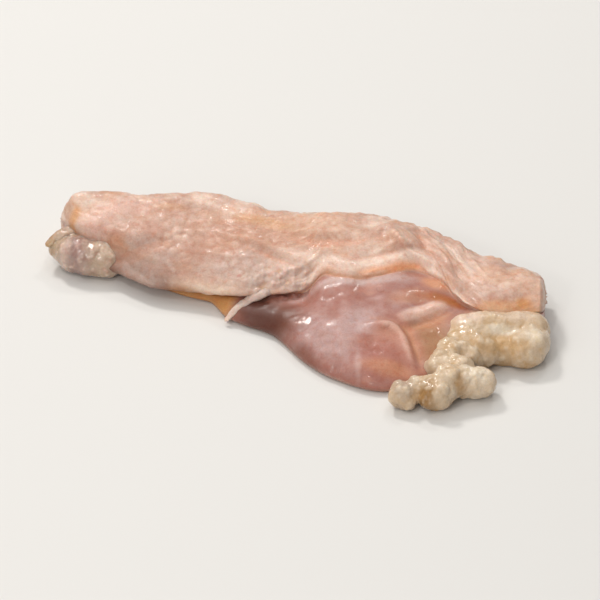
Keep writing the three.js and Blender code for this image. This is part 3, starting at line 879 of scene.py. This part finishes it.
    def follicles(self, cloth: np.ndarray) -> tuple[np.ndarray, np.ndarray]:
        """Rounded follicle bumps and the net of creases between them, spread evenly over the skin.

        A bump falls off as exp(-d^2) from its scattered centre, and a crease lies where the nearest and
        second nearest centres are equally far.

        Args:
            cloth: Place on the skin, along the piece and around the section from the lip.

        Returns:
            The bumps' height in millimetres, and the net's depth from 0 to 1.
        """
        along, around = (noise(cloth, 3.5, seed) for seed in (Seed.WARP_ALONG, Seed.WARP_AROUND))
        warp = np.stack([along, around, np.zeros(cloth.shape[:-1])], axis=-1)
        near, second = nearest_spots((cloth + 0.5 * warp) / self.follicle_spacing, Seed.FOLLICLE)
        fine, _ = nearest_spots((cloth + 0.3 * warp) / self.pore_spacing, Seed.FOLLICLE_FINE)
        net = np.exp(-(((second - near) / 0.22) ** 2))
        patch = 0.6 + 0.4 * noise(cloth, 9, Seed.FOLLICLE_PATCH)
        bumps = patch * (0.27 * np.exp(-((near / 0.5) ** 2)) - 0.06 * net)
        bumps += 0.06 * np.exp(-((fine / 0.45) ** 2))
        return bumps, net * patch

    def wrinkles(self, cloth: np.ndarray) -> np.ndarray:
        """Fine loose wrinkles that run along the piece: sharp crests of stretched noise.

        Args:
            cloth: Place on the skin, along the piece and around the section from the lip.

        Returns:
            The height in millimetres.
        """
        none = np.zeros(cloth.shape[:-1])
        sway = np.stack([none, 2.2 * noise(cloth, 12, Seed.SWAY), none], axis=-1)
        broad = 1 - np.abs(noise(cloth + sway, (12, 3.4, 1), Seed.WRINKLE))
        small = 1 - np.abs(noise(cloth + 0.6 * sway, (5.5, 1.9, 1), Seed.WRINKLE_FINE))
        where = smooth_step(noise(cloth, 12, Seed.WRINKLE_PATCH), -0.4, 0.6)
        where = where * smooth_step(cloth[..., 0], -48, -18)
        level = (0.25 + 0.75 * where) * (0.36 * (broad**2 - 0.5) + 0.14 * (small**2 - 0.5))
        lean = np.radians(self.wrinkle_lean)
        turned = np.stack([
            cloth[..., 0] * np.cos(lean) + cloth[..., 1] * np.sin(lean),
            cloth[..., 1] * np.cos(lean) - cloth[..., 0] * np.sin(lean),
            none,
        ], axis=-1) + 0.5 * sway
        slanted = 1 - np.abs(noise(turned, (11, 2.9, 1), Seed.SLANT))
        fine = 1 - np.abs(noise(turned, (4.5, 1.5, 1), Seed.SLANT_FINE))
        slanting = 0.42 * (slanted**2 - 0.5) + 0.14 * (fine**2 - 0.5)
        slanting = slanting * mix(1.0, 0.45, smooth_step(cloth[..., 0], 46, 56))
        return mix(level, slanting, smooth_step(cloth[..., 0], 17, 30))

    def colours(
        self,
        rings: np.ndarray,
        cloth: np.ndarray,
        place: np.ndarray,
        outer: np.ndarray,
        membrane: np.ndarray,
        bumps: np.ndarray,
        net: np.ndarray,
        wrinkles: np.ndarray,
        folded: np.ndarray,
    ) -> np.ndarray:
        """Colour of each point: the tone of its face and its patches, with painted shade in creases, grooves
        and under the lip and painted highlights on bump tops, crests and the lip.

        Args:
            rings: The finished points.
            cloth: Place on the skin.
            place: Place along the section, in spans.
            outer: Share of outer skin at each point.
            membrane: Share of membrane at each point.
            bumps: Height of the follicle bumps.
            net: Depth of the net of creases.
            wrinkles: Height of the wrinkles.
            folded: Height of the folds.

        Returns:
            Linear colours, shaped as the points.
        """
        x, y, z = rings[..., 0], rings[..., 1], rings[..., 2]
        colour = np.broadcast_to(np.array(Tone.CREAM.value), rings.shape).copy()
        mottle = layered(self.mottle_grains, cloth)
        colour = blend_tone(colour, Tone.BLUSH_AND_CREASE_SHADE, outer * 0.6 * smooth_step(mottle, 0.0, 0.8))
        colour = blend_tone(colour, Tone.PALE_AND_HIGHLIGHT, outer * 0.85 * smooth_step(-mottle, 0.0, 0.8))
        warm = layered(self.warm_grains, cloth)
        seen = 1 - 0.6 * smooth_step(place, 11, 12)
        colour = blend_tone(colour, Tone.PEACH, outer * seen * 0.7 * smooth_step(warm, 0.1, 0.8))
        blotch = noise(cloth, (4.2, 3.4, 1), Seed.BLOTCH) * (1 - smooth_step(cloth[..., 0], -20, 6))
        colour = blend_tone(colour, Tone.RUSSET, outer * seen * 0.65 * smooth_step(blotch, 0.1, 0.7))
        inner = layered(self.inner_grains, rings)
        under = np.broadcast_to(np.array(Tone.MAUVE.value), rings.shape)
        under = blend_tone(under, Tone.LILAC, 0.4 * smooth_step(inner, 0.0, 1.0))
        under = blend_tone(under, Tone.LEAN, 0.4 * smooth_step(-inner, 0.1, 1.0))
        colour = mix(colour, under, membrane[..., None])
        for spot in self.spots:
            share = {Layer.OUTER: outer, Layer.MEMBRANE: membrane, Layer.BOTH: 1.0}[spot.layer]
            colour = blend_tone(colour, spot.tone, spot.cover(x, y) * share)
        # Painted shade: darker salmon in the net of creases and in wrinkle troughs.
        trough = smooth_step(-wrinkles, 0.0, 0.25)
        colour = blend_tone(colour, Tone.BLUSH_AND_CREASE_SHADE, outer * (0.22 * net + 0.3 * trough))
        # Painted highlight: paler on the bump tops.
        colour = blend_tone(colour, Tone.PALE_AND_HIGHLIGHT, outer * 0.25 * smooth_step(bumps, 0.08, 0.28))
        # Painted shade in the fold grooves of the outer skin.
        colour = blend_tone(colour, Tone.SALMON_AND_SHADE, outer * 0.45 * smooth_step(-folded, 0.05, 0.4))
        # Painted highlight on the membrane's fold crests.
        colour = blend_tone(colour, Tone.FOLD_HIGHLIGHT, membrane * 0.4 * smooth_step(folded, 0.3, 0.8))
        # Painted shade in the membrane's fold grooves.
        colour = blend_tone(colour, Tone.UMBER_AND_SHADE, membrane * 0.5 * smooth_step(-folded, 0.1, 0.5))
        for band in self.bands:
            colour = blend_tone(colour, band.tone, band.cover(x, place))
        return colour


@dataclass(frozen=True)
class LumpyLobe:
    """A lobe of soft lumps softly run together along a spine."""

    name: str
    lumps: Knots
    smooth: Knots = ()
    spine: Knots = ()
    blend: float = 0.55
    beads: int = 7
    main: Tone = Tone.FAT
    # deep is laid as painted shade in valleys and near the floor, pale as painted highlight on crests.
    deep: Tone = Tone.FAT_VALLEY_SHADE
    pale: Tone = Tone.FAT_PALE_AND_HIGHLIGHT
    spots: tuple[Spot, ...] = ()
    wet: float = 0.4
    roughen: float = 0.34
    curd: float = 3.4
    rows: int = 120
    sides: int = 110
    cap_rows: int = 24
    bead_size: float = 0.42
    bead_setting: float = 0.66
    core_size: float = 0.84
    bead_turn: float = 2.4
    reach: float = 16.0

    def beaded(self) -> np.ndarray:
        """Sets beads over each lump in an even turning spiral.

        Returns:
            The smooth lumps, the lumps and their beads, as x, y, z and radius.
        """
        lumps, smooth = np.array(self.lumps), np.array(self.smooth).reshape(-1, 4)
        if self.beads == 0:
            return np.vstack([smooth, lumps])
        k = np.arange(self.beads)
        rise = mix(-0.2, 0.95, (k + 0.5) / self.beads)
        flat = np.sqrt(1 - rise**2)
        turn = self.bead_turn * k[None] + lumps[:, :1]
        away = self.bead_setting * lumps[:, 3:4]
        beads = np.stack([
            lumps[:, :1] + away * flat * np.cos(turn),
            lumps[:, 1:2] + away * flat * np.sin(turn),
            lumps[:, 2:3] + away * rise,
            np.broadcast_to(self.bead_size * lumps[:, 3:4], turn.shape),
        ], axis=-1).reshape(-1, 4)
        core = lumps * np.array([1, 1, 1, self.core_size])
        return np.vstack([smooth, core, beads])

    def depth(self, lumps: np.ndarray, points: np.ndarray) -> np.ndarray:
        """How deep points lie in the lumps: a soft largest of radius minus distance, positive inside.

        Args:
            lumps: The lumps as x, y, z and radius.
            points: Positions, with the last axis of length 3.

        Returns:
            The depth in millimetres.
        """
        total = np.zeros(points.shape[:-1])
        for x, y, z, radius in lumps:
            away = np.sqrt((points[..., 0] - x) ** 2 + (points[..., 1] - y) ** 2 + (points[..., 2] - z) ** 2)
            total += np.exp(np.minimum((radius - away) / self.blend, 60))
        return self.blend * np.log(np.maximum(total, 1e-30))

    def build(self) -> Surface:
        """Works out the lobe: rays from the spine, each ending where the depth falls to nothing.

        The rays stand square to the spine along its length and lean over to its ends, so that both
        ends close as domes. Small lumps of noise then roughen the surface.

        Returns:
            The finished surface.
        """
        knots = np.array(self.spine or self.lumps)[:, :3]
        lean = (np.arange(self.cap_rows) + 0.5) / self.cap_rows * np.pi / 2
        along = np.linspace(0, 1, self.rows)
        t = np.concatenate([np.zeros(self.cap_rows), along, np.ones(self.cap_rows)])
        tilt = np.concatenate([lean - np.pi / 2, np.zeros(self.rows), lean])[:, None, None]
        start = open_curve(knots, t)
        axis = open_curve(knots, np.minimum(t + 0.01, 1)) - open_curve(knots, np.maximum(t - 0.01, 0))
        axis /= np.linalg.norm(axis, axis=-1, keepdims=True)
        side = np.cross([0.0, 0.0, 1.0], axis)
        side /= np.linalg.norm(side, axis=-1, keepdims=True)
        up = np.cross(axis, side)
        turn = (np.arange(self.sides) / self.sides * 2 * np.pi)[None, :, None]
        flat = side[:, None] * np.cos(turn) + up[:, None] * np.sin(turn)
        ray = axis[:, None] * np.sin(tilt) + flat * np.cos(tilt)
        lumps = self.beaded()
        inside = np.zeros(ray.shape[:2] + (1,))
        outside = np.full_like(inside, self.reach)
        for _ in range(14):
            reach = (inside + outside) / 2
            deep = self.depth(lumps, start[:, None] + ray * reach)[..., None] > 0
            inside, outside = np.where(deep, reach, inside), np.where(deep, outside, reach)
        rings = start[:, None] + ray * inside
        surface = Surface(self.name, rings, np.zeros_like(rings), inside[..., 0], inside[..., 0])
        curd = 0.6 - nearest_spots(rings / self.curd, Seed.CURD, layers=3)[0]
        small = 0.6 - nearest_spots(rings / (0.45 * self.curd), Seed.CURD_FINE, layers=3)[0]
        rough = 2 * curd + 0.8 * small + 0.2 * noise(rings, 0.8, Seed.CURD_GRAIN)
        rings = rings + surface.normals() * (self.roughen * rough)[..., None]
        rings[..., 2] = np.maximum(rings[..., 2], 0.0)
        surface.rings = rings
        surface.tone = self.colours(rings, lumps, rough)
        surface.wet = np.full(rings.shape[:2], self.wet)
        surface.grain = np.ones(rings.shape[:2])
        return surface

    def colours(self, rings: np.ndarray, lumps: np.ndarray, rough: np.ndarray) -> np.ndarray:
        """Colour of each point: painted shade in the valleys between lumps, in small hollows and near the
        floor, and painted highlight on crests.

        Args:
            rings: The finished points.
            lumps: The lumps as x, y, z and radius.
            rough: The fine noise that roughened them.

        Returns:
            Linear colours, shaped as the points.
        """
        colour = np.broadcast_to(np.array(self.main.value), rings.shape)
        # Painted shade in the valleys between lumps.
        valley = smooth_step(self.depth(lumps * np.array([1, 1, 1, 0.85]), rings), -1.1, -0.45)
        colour = blend_tone(colour, self.deep, 0.55 * (1 - valley))
        # Painted shade near the floor.
        colour = blend_tone(colour, self.deep, 0.55 * smooth_step(-rings[..., 2], -4.5, -0.5))
        # Painted shade in the small hollows of the roughening.
        colour = blend_tone(colour, self.deep, 0.55 * smooth_step(-rough, 0.0, 0.6))
        for spot in self.spots:
            colour = blend_tone(colour, spot.tone, spot.cover(rings[..., 0], rings[..., 1]))
        # Painted highlight on the roughening's crests.
        return blend_tone(colour, self.pale, 0.45 * smooth_step(rough, 0.3, 1.1))


@dataclass(frozen=True)
class Tube:
    """A tapering thread or rolled edge along knots of x, y, z and radius."""

    name: str
    knots: Knots
    tone: Tone
    tip_tone: Tone
    wet: float = 0.4
    flatten: float = 0.75
    rows: int = 140
    sides: int = 40

    def build(self) -> Surface:
        """Works out the tube: rings square to its line, uneven in size, closing to a point at both ends.

        Returns:
            The finished surface.
        """
        knots = np.array(self.knots)
        t = np.linspace(0, 1, self.rows)
        line = open_curve(knots, t)
        axis = np.gradient(line[:, :3], axis=0)
        axis /= np.linalg.norm(axis, axis=-1, keepdims=True)
        side = np.cross([0.0, 0.0, 1.0], axis)
        side /= np.linalg.norm(side, axis=-1, keepdims=True)
        up = np.cross(axis, side)
        turn = (np.arange(self.sides) / self.sides * 2 * np.pi)[None, :, None]
        close = np.sqrt(np.clip(np.minimum(t, 1 - t) / 0.04, 0.02, 1))
        radius = (line[:, 3] * close)[:, None, None]
        spread = side[:, None] * np.cos(turn) + self.flatten * up[:, None] * np.sin(turn)
        rings = line[:, None, :3] + radius * spread
        uneven = noise(rings, 2.2, Seed.TUBE) + 0.5 * noise(rings, 1.0, Seed.TUBE_FINE)
        rings = rings + radius * spread * (0.16 * uneven)[..., None]
        rings[..., 2] = np.maximum(rings[..., 2], 0.0)
        colour = mix(np.array(self.tone.value), np.array(self.tip_tone.value), (t**2)[:, None, None])
        colour = np.broadcast_to(colour, rings.shape) * (1 + 0.08 * uneven[..., None])
        wet = np.full(rings.shape[:2], self.wet)
        return Surface(self.name, rings, colour, wet, np.ones_like(wet))


@dataclass(frozen=True)
class TissueFinish:
    """Wet raw tissue: light sinks in and comes back warm, under a thin film of moisture."""

    name: str
    dry_roughness: float = 0.46
    wet_roughness: float = 0.16
    depth_mm: float = 2.2
    spread: tuple[float, float, float] = (1.0, 0.42, 0.24)
    sink: float = 0.35
    film: float = 0.8
    mottle_mm: float = 1.6
    mottle_strength: float = 0.8
    mottle_tint: tuple[float, float, float] = (0.92, 0.74, 0.66)
    grain_mm: float = 0.55
    grain_height_mm: float = 0.10
    ior: float = 1.4
    film_ior: float = 1.34
    film_roughness: float = 0.1
    dry_film: float = 0.1
    film_patch_mm: float = 3.2
    bump_strength: float = 0.6

    def build(self) -> bpy.types.Material:
        """Makes the material.

        The stored tone is mottled by two sizes of noise, roughness falls where the surface is wet, and
        fine cells and noise raise a grain.

        Returns:
            The material.
        """
        material = bpy.data.materials.new(self.name)
        material.use_nodes = True
        tree = material.node_tree
        shader = tree.nodes["Principled BSDF"]
        shader.inputs["Subsurface Weight"].default_value = self.sink
        shader.inputs["Subsurface Radius"].default_value = self.spread
        shader.inputs["Subsurface Scale"].default_value = self.depth_mm * MM
        shader.inputs["IOR"].default_value = self.ior
        shader.inputs["Coat Roughness"].default_value = self.film_roughness
        shader.inputs["Coat IOR"].default_value = self.film_ior
        place = self._node(tree, "ShaderNodeTexCoord").outputs["Object"]
        tone = self._attribute(tree, "tone").outputs["Color"]
        wet = self._attribute(tree, "wet").outputs["Fac"]
        grain = self._attribute(tree, "grain").outputs["Fac"]

        broad = self._noise(tree, place, self.mottle_mm, 4.0)
        fleck = self._noise(tree, place, self.mottle_mm * 0.3, 3.0)
        amount = self._range(tree, broad, 0.48, 0.72, 0.0, self.mottle_strength)
        mottled = self._mix(tree, amount, tone, (*self.mottle_tint, 1.0), "MULTIPLY")
        lift = self._range(tree, fleck, 0.3, 0.7, 0.93, 1.07)
        shaded = self._mix(tree, 1.0, mottled, lift, "MULTIPLY")
        tree.links.new(shaded, shader.inputs["Base Color"])

        coat = self._range(tree, wet, 0.0, 1.0, self.dry_film * self.film, self.film)
        tree.links.new(coat, shader.inputs["Coat Weight"])
        film = self._noise(tree, place, self.film_patch_mm, 2.0)
        dry = self._range(tree, wet, 0.0, 1.0, self.dry_roughness, self.wet_roughness)
        uneven = self._range(tree, film, 0.35, 0.65, 0.78, 1.22)
        rough = self._math(tree, "MULTIPLY", dry, uneven)
        tree.links.new(rough, shader.inputs["Roughness"])

        cells = self._node(tree, "ShaderNodeTexVoronoi")
        cells.feature = "SMOOTH_F1"
        cells.inputs["Scale"].default_value = 1 / (self.grain_mm * MM)
        tree.links.new(place, cells.inputs["Vector"])
        dome = self._range(tree, cells.outputs["Distance"], 0.0, 0.8, 1.0, 0.0)
        fine = self._noise(tree, place, self.grain_mm * 0.5, 3.0)
        both = self._math(tree, "ADD", self._math(tree, "MULTIPLY", dome, grain), fine)
        bump = self._node(tree, "ShaderNodeBump")
        bump.inputs["Strength"].default_value = self.bump_strength
        bump.inputs["Distance"].default_value = self.grain_height_mm * MM
        tree.links.new(both, bump.inputs["Height"])
        tree.links.new(bump.outputs["Normal"], shader.inputs["Normal"])
        return material

    @staticmethod
    def _node(tree: bpy.types.NodeTree, kind: str) -> bpy.types.Node:
        """Adds a node of a kind."""
        return tree.nodes.new(kind)

    @staticmethod
    def _attribute(tree: bpy.types.NodeTree, name: str) -> bpy.types.Node:
        """Adds a reader of one of the mesh's stored values.

        Args:
            tree: The material's nodes.
            name: The stored value's name.

        Returns:
            The reader.
        """
        node = tree.nodes.new("ShaderNodeAttribute")
        node.attribute_name = name
        return node

    @staticmethod
    def _noise(
        tree: bpy.types.NodeTree, place: bpy.types.NodeSocket, size_mm: float, detail: float
    ) -> bpy.types.NodeSocket:
        """Adds noise whose patches are size_mm across.

        Args:
            tree: The material's nodes.
            place: Where the pattern is read.
            size_mm: Size of its patches.
            detail: How many finer layers it has.

        Returns:
            The noise, from 0 to 1.
        """
        node = tree.nodes.new("ShaderNodeTexNoise")
        node.inputs["Scale"].default_value = 1 / (size_mm * MM)
        node.inputs["Detail"].default_value = detail
        tree.links.new(place, node.inputs["Vector"])
        return node.outputs["Fac"]

    @staticmethod
    def _range(
        tree: bpy.types.NodeTree, value: bpy.types.NodeSocket, low: float, high: float, out_low: float,
        out_high: float,
    ) -> bpy.types.NodeSocket:
        """Adds a clamped change of range.

        Args:
            tree: The material's nodes.
            value: What is mapped.
            low: The value that gives out_low.
            high: The value that gives out_high.
            out_low: Result at and below low.
            out_high: Result at and above high.

        Returns:
            The mapped value.
        """
        node = tree.nodes.new("ShaderNodeMapRange")
        for name, number in (
            ("From Min", low), ("From Max", high), ("To Min", out_low), ("To Max", out_high),
        ):
            node.inputs[name].default_value = number
        tree.links.new(value, node.inputs["Value"])
        return node.outputs["Result"]

    @staticmethod
    def _math(
        tree: bpy.types.NodeTree, operation: str, a: bpy.types.NodeSocket, b: bpy.types.NodeSocket
    ) -> bpy.types.NodeSocket:
        """Adds one sum of two values.

        Args:
            tree: The material's nodes.
            operation: What is done with them.
            a: First value.
            b: Second value.

        Returns:
            The result.
        """
        node = tree.nodes.new("ShaderNodeMath")
        node.operation = operation
        tree.links.new(a, node.inputs[0])
        tree.links.new(b, node.inputs[1])
        return node.outputs["Value"]

    @staticmethod
    def _mix(
        tree: bpy.types.NodeTree,
        amount: bpy.types.NodeSocket | float,
        a: bpy.types.NodeSocket,
        b: bpy.types.NodeSocket | tuple[float, ...],
        blend: str,
    ) -> bpy.types.NodeSocket:
        """Adds a mix of two colours.

        Args:
            tree: The material's nodes.
            amount: Share of the second colour.
            a: First colour.
            b: Second colour.
            blend: How they are put together.

        Returns:
            The mixed colour.
        """
        node = tree.nodes.new("ShaderNodeMix")
        node.data_type = "RGBA"
        node.blend_type = blend
        for socket, value in ((node.inputs["Factor"], amount), (node.inputs[6], a), (node.inputs[7], b)):
            if isinstance(value, bpy.types.NodeSocket):
                tree.links.new(value, socket)
            else:
                socket.default_value = value
        return node.outputs[2]


@dataclass
class FatEdge:
    """The lobes of fat that hang from the right-hand edge."""

    lobes: tuple[LumpyLobe, ...] = (
        LumpyLobe("fat_near", (
            (30.4, -42.2, 3.2, 4.1), (34.6, -40.4, 3.8, 3.8), (39.4, -41.6, 4, 5.6), (43.2, -37.6, 5.6, 4.6),
            (47.2, -37.2, 4.6, 4.7), (51, -36.6, 4, 4.4),
        ), spine=((30.8, -41.6, 3.4), (39.4, -40, 4), (50.6, -37.2, 4.2)), beads=6, curd=2.8, spots=(
            # Painted highlight on the right-hand lump's crest.
            Spot(50, -37, 4.6, 4.2, 0, Tone.FAT_PALE_AND_HIGHLIGHT, 0.75),
            Spot(30, -42, 3.4, 4.4, 0, Tone.FAT_GREY, 0.9),
            Spot(38, -38, 3, 2.4, 0, Tone.FAT_PALE_AND_HIGHLIGHT, 0.3),
            Spot(41.5, -44, 2, 3, 0, Tone.FAT_PALE_AND_HIGHLIGHT, 0.3),
            Spot(36.6, -45.4, 2.3, 4.2, 0, Tone.FAT_SHADE, 1.0),
            Spot(45.6, -41.5, 1.3, 2, 0, Tone.FAT_SHADE, 0.6),
        )),
        LumpyLobe("fat_link", (
            (45, -33, 4.8, 4.8), (40.6, -29.6, 4.4, 4.6), (43, -24, 4.8, 4.8), (48, -23.6, 4, 4.6),
        ), spine=((44.2, -32.4, 4.6), (43, -28.4, 4.6), (44.6, -24.4, 4.6)), beads=6),
        LumpyLobe("fat_far", (
            (46.4, -19.4, 4.8, 5), (51, -21.4, 4.2, 4.9), (57.4, -19.4, 3.2, 4.2), (62.4, -20.8, 4, 4.7),
            (65, -18.4, 4.6, 4.7),
        ), smooth=(
            (46.6, -14.6, 6, 5), (51, -13.6, 6, 5.2), (55.8, -13, 5.8, 5.2), (60.6, -12, 5.6, 5),
            (64.8, -11.6, 5.4, 4.8),
        ), spine=(
            (46.2, -17, 5), (51, -17, 5), (56, -16.8, 5), (61, -16.6, 5), (65, -16, 5),
        ), blend=0.9, beads=5, roughen=0.24, rows=200, spots=(
            # Painted highlight on the upper left of the fat's top.
            Spot(47, -14, 4.6, 3.4, 10, Tone.PALE_AND_HIGHLIGHT, 0.7),
            Spot(60, -12, 8, 3, 4, Tone.RIM, 0.6),
            Spot(65.5, -19.5, 2.6, 3.4, 0, Tone.FAT_PALE_AND_HIGHLIGHT, 0.6),
            # Painted shade low on the front.
            Spot(61, -23.5, 3, 2, 0, Tone.FAT_VALLEY_SHADE, 0.6),
            # Painted highlight along the crest ridge.
            Spot(56.6, -17.6, 5, 1.4, 0, Tone.FAT_PALE_AND_HIGHLIGHT, 0.8),
            # Painted shade in the hollow between the front lumps.
            Spot(56, -21.4, 4.4, 2.8, 0, Tone.FAT_VALLEY_SHADE, 0.85),
            Spot(42.5, -21, 4.4, 3.4, 20, Tone.FAT_VALLEY_SHADE, 0.65),
            # Painted shade along the lower edge.
            Spot(50.5, -24, 4, 2, 0, Tone.FAT_VALLEY_SHADE, 0.6),
        )),
    )
    finish: TissueFinish = TissueFinish(
        "fat_tissue", dry_roughness=0.42, wet_roughness=0.2, depth_mm=1.1, spread=(1.0, 0.8, 0.6),
        sink=0.4, film=0.8, mottle_mm=1.6, mottle_strength=0.8, mottle_tint=(0.97, 0.90, 0.76),
        grain_mm=1.0, grain_height_mm=0.07,
    )

    def build(self) -> list[bpy.types.Object]:
        """Makes the lobes and gives them their finish."""
        material = self.finish.build()
        return [lobe.build().to_object(material) for lobe in self.lobes]


@dataclass
class RolledEnd:
    """The left-hand end: membrane bulging out of the roll, with the skin's thin rolled rim round it."""

    bulge: LumpyLobe = LumpyLobe(
        "end_bulge",
        ((-68.6, 24, 5.6, 2.8), (-63.8, 21.6, 5, 4.9), (-59, 20.4, 4.9, 4.7), (-54.4, 18.8, 4.6, 4.3)),
        smooth=(
            (-66, 26.4, 7.2, 2.6), (-60.5, 24.4, 7.4, 2.8), (-55, 21.6, 7.2, 2.8), (-63, 19.8, 8.4, 1.7),
            (-57.8, 18.6, 8, 1.8), (-61.5, 17.8, 7, 1.7), (-60.2, 17, 4, 1.8), (-65.4, 19.6, 6, 1.7),
        ),
        # The deep and pale tones go to painted valley shade and painted crest highlights.
        blend=0.9, beads=0, main=Tone.CUFF, deep=Tone.NUB, pale=Tone.PALE_AND_HIGHLIGHT, wet=1.0, roughen=0.19, curd=2.2,
        spots=(
            Spot(-69, 22.5, 3.4, 5, 0, Tone.NUB, 0.9),
            Spot(-62.6, 18.8, 5, 5, -20, Tone.VEIL, 0.9),
            Spot(-61.6, 18, 2.6, 2.6, 0, Tone.MAUVE, 0.3),
            Spot(-57, 17.5, 5, 3, -20, Tone.NUB, 0.5),
            Spot(-55, 18.4, 3.4, 2.6, -20, Tone.RIM, 0.5),
            Spot(-61, 27.6, 12, 4, -22, Tone.RIM, 0.95),
            Spot(-66, 19.5, 1.6, 3, 0, Tone.PALE_AND_HIGHLIGHT, 0.5),
        ),
    )
    rim: Tube = Tube("end_rim", (
        (-62, 28.4, 9.2, 1.6), (-66.4, 26.2, 9, 2.3), (-69.4, 24.4, 8.2, 2), (-72, 22.6, 7, 0.7),
    ), Tone.CUFF, Tone.TIP)
    finish: TissueFinish = TissueFinish(
        "membrane_bulge", dry_roughness=0.3, wet_roughness=0.1, depth_mm=2.6, sink=0.4, film=0.7,
        mottle_mm=2.0, mottle_strength=0.8, mottle_tint=(0.88, 0.76, 0.74), grain_mm=1.1, grain_height_mm=0.1,
    )

    def build(self) -> list[bpy.types.Object]:
        """Makes the bulge and its rim and gives them their finish."""
        material = self.finish.build()
        return [part.build().to_object(material) for part in (self.bulge, self.rim)]


@dataclass
class TornEdge:
    """The pale strand torn from the lip, which lies over the edge of the membrane."""

    strand: Tube = Tube("torn_strand", (
        (-5.3, 2.1, 8.3, 1.2), (-9.8, -0.7, 8, 1.7), (-14.1, -1.4, 5.8, 1.6), (-17.2, -3.1, 3.6, 1.2),
        (-19.9, -5, 1.3, 0.8),
    ), Tone.GREY_AND_SHADE, Tone.PALE_AND_HIGHLIGHT, wet=0.3, flatten=0.6)
    finish: TissueFinish = TissueFinish(
        "torn_tissue", dry_roughness=0.42, wet_roughness=0.18, depth_mm=1.8, sink=0.35, film=0.5,
        mottle_mm=1.1, mottle_strength=0.8, mottle_tint=(0.95, 0.84, 0.78), grain_mm=0.6, grain_height_mm=0.1,
    )

    def build(self) -> list[bpy.types.Object]:
        """Makes the strand and gives it its finish."""
        material = self.finish.build()
        return [self.strand.build().to_object(material)]


@dataclass(frozen=True)
class Lamp:
    """A square soft light: its place and side in metres, and its power in watts."""

    name: str
    place: tuple[float, float, float]
    side: float
    watts: float


@dataclass
class Studio:
    """The floor, the soft lights and the camera."""

    camera_mm: tuple[float, float, float] = (50.2, -994.1, 647.0)
    aim_mm: tuple[float, float, float] = (1.1, 11.0, 0.0)
    lens_mm: float = 257.7
    floor_half_m: float = 3.0
    floor_tone: tuple[float, float, float, float] = (0.70, 0.69, 0.67, 1.0)
    floor_roughness: float = 0.7
    lamp_aim_m: tuple[float, float, float] = (0, 0, 0.01)
    lamp_tone: tuple[float, float, float] = (1.0, 0.972, 0.935)
    sky_tone: tuple[float, float, float, float] = (0.97, 0.97, 0.97, 1.0)
    sky_strength: float = 0.28
    lamps: tuple[Lamp, ...] = (
        Lamp("overhead", (-0.20, 0.25, 1.1), 1.4, 5.8),
        Lamp("window", (-0.35, 0.55, 0.80), 0.16, 3.9),
        Lamp("lamp", (0.22, 0.62, 0.72), 0.06, 0.9),
        Lamp("fill", (-0.35, -0.95, 0.75), 1.0, 5.0),
        Lamp("front_lamp", (-0.30, -0.75, 0.55), 0.07, 0.8),
        Lamp("high_lamp", (-0.25, -0.46, 0.92), 0.07, 1.2),
    )

    def floor(self) -> bpy.types.Object:
        """Makes the plain pale floor.

        Returns:
            The floor's object.
        """
        mesh = bpy.data.meshes.new("floor")
        h = self.floor_half_m
        mesh.from_pydata([(-h, -h, 0), (h, -h, 0), (h, h, 0), (-h, h, 0)], [], [(0, 1, 2, 3)])
        material = bpy.data.materials.new("floor_paper")
        material.use_nodes = True
        shader = material.node_tree.nodes["Principled BSDF"]
        shader.inputs["Base Color"].default_value = self.floor_tone
        shader.inputs["Roughness"].default_value = self.floor_roughness
        mesh.materials.append(material)
        floor = bpy.data.objects.new("floor", mesh)
        bpy.context.scene.collection.objects.link(floor)
        return floor

    def light(self, lamp: Lamp) -> None:
        """Adds a light aimed at the piece.

        Args:
            lamp: Its place, size and power.
        """
        data = bpy.data.lights.new(lamp.name, "AREA")
        data.shape = "SQUARE"
        data.size = lamp.side
        data.energy = lamp.watts
        data.color = self.lamp_tone
        light = bpy.data.objects.new(lamp.name, data)
        light.location = lamp.place
        towards = Vector(self.lamp_aim_m) - Vector(lamp.place)
        light.rotation_euler = towards.to_track_quat("-Z", "Y").to_euler()
        bpy.context.scene.collection.objects.link(light)

    def build(self) -> None:
        """Sets up the floor, lights, surroundings and camera."""
        self.floor()
        for lamp in self.lamps:
            self.light(lamp)
        world = bpy.data.worlds.new("studio")
        world.use_nodes = True
        sky = world.node_tree.nodes["Background"]
        sky.inputs["Color"].default_value = self.sky_tone
        sky.inputs["Strength"].default_value = self.sky_strength
        scene = bpy.context.scene
        scene.world = world
        scene.view_settings.view_transform = "Standard"
        data = bpy.data.cameras.new("camera")
        data.lens = self.lens_mm
        data.clip_start, data.clip_end = 0.01, 20.0
        camera = bpy.data.objects.new("camera", data)
        camera.location = [v * MM for v in self.camera_mm]
        aim = Vector(self.aim_mm) * MM
        camera.rotation_euler = (aim - camera.location).to_track_quat("-Z", "Y").to_euler()
        scene.collection.objects.link(camera)
        scene.camera = camera


def write_sizes() -> None:
    """Brings the view layer up to date."""
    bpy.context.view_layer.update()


def main() -> None:
    """Builds the piece and the studio in order, and reports each piece."""
    logging.basicConfig(level=logging.INFO, format="%(name)s: %(message)s")
    skin = TissueFinish("outer_skin_and_membrane")
    FoldedSheet().build().to_object(skin.build())
    for part in (FatEdge(), RolledEnd(), TornEdge()):
        pieces = part.build()
        LOG.info("%s: %s", type(part).__name__, ", ".join(piece.name for piece in pieces))
    Studio().build()
    write_sizes()


if __name__ == "__main__":
    main()
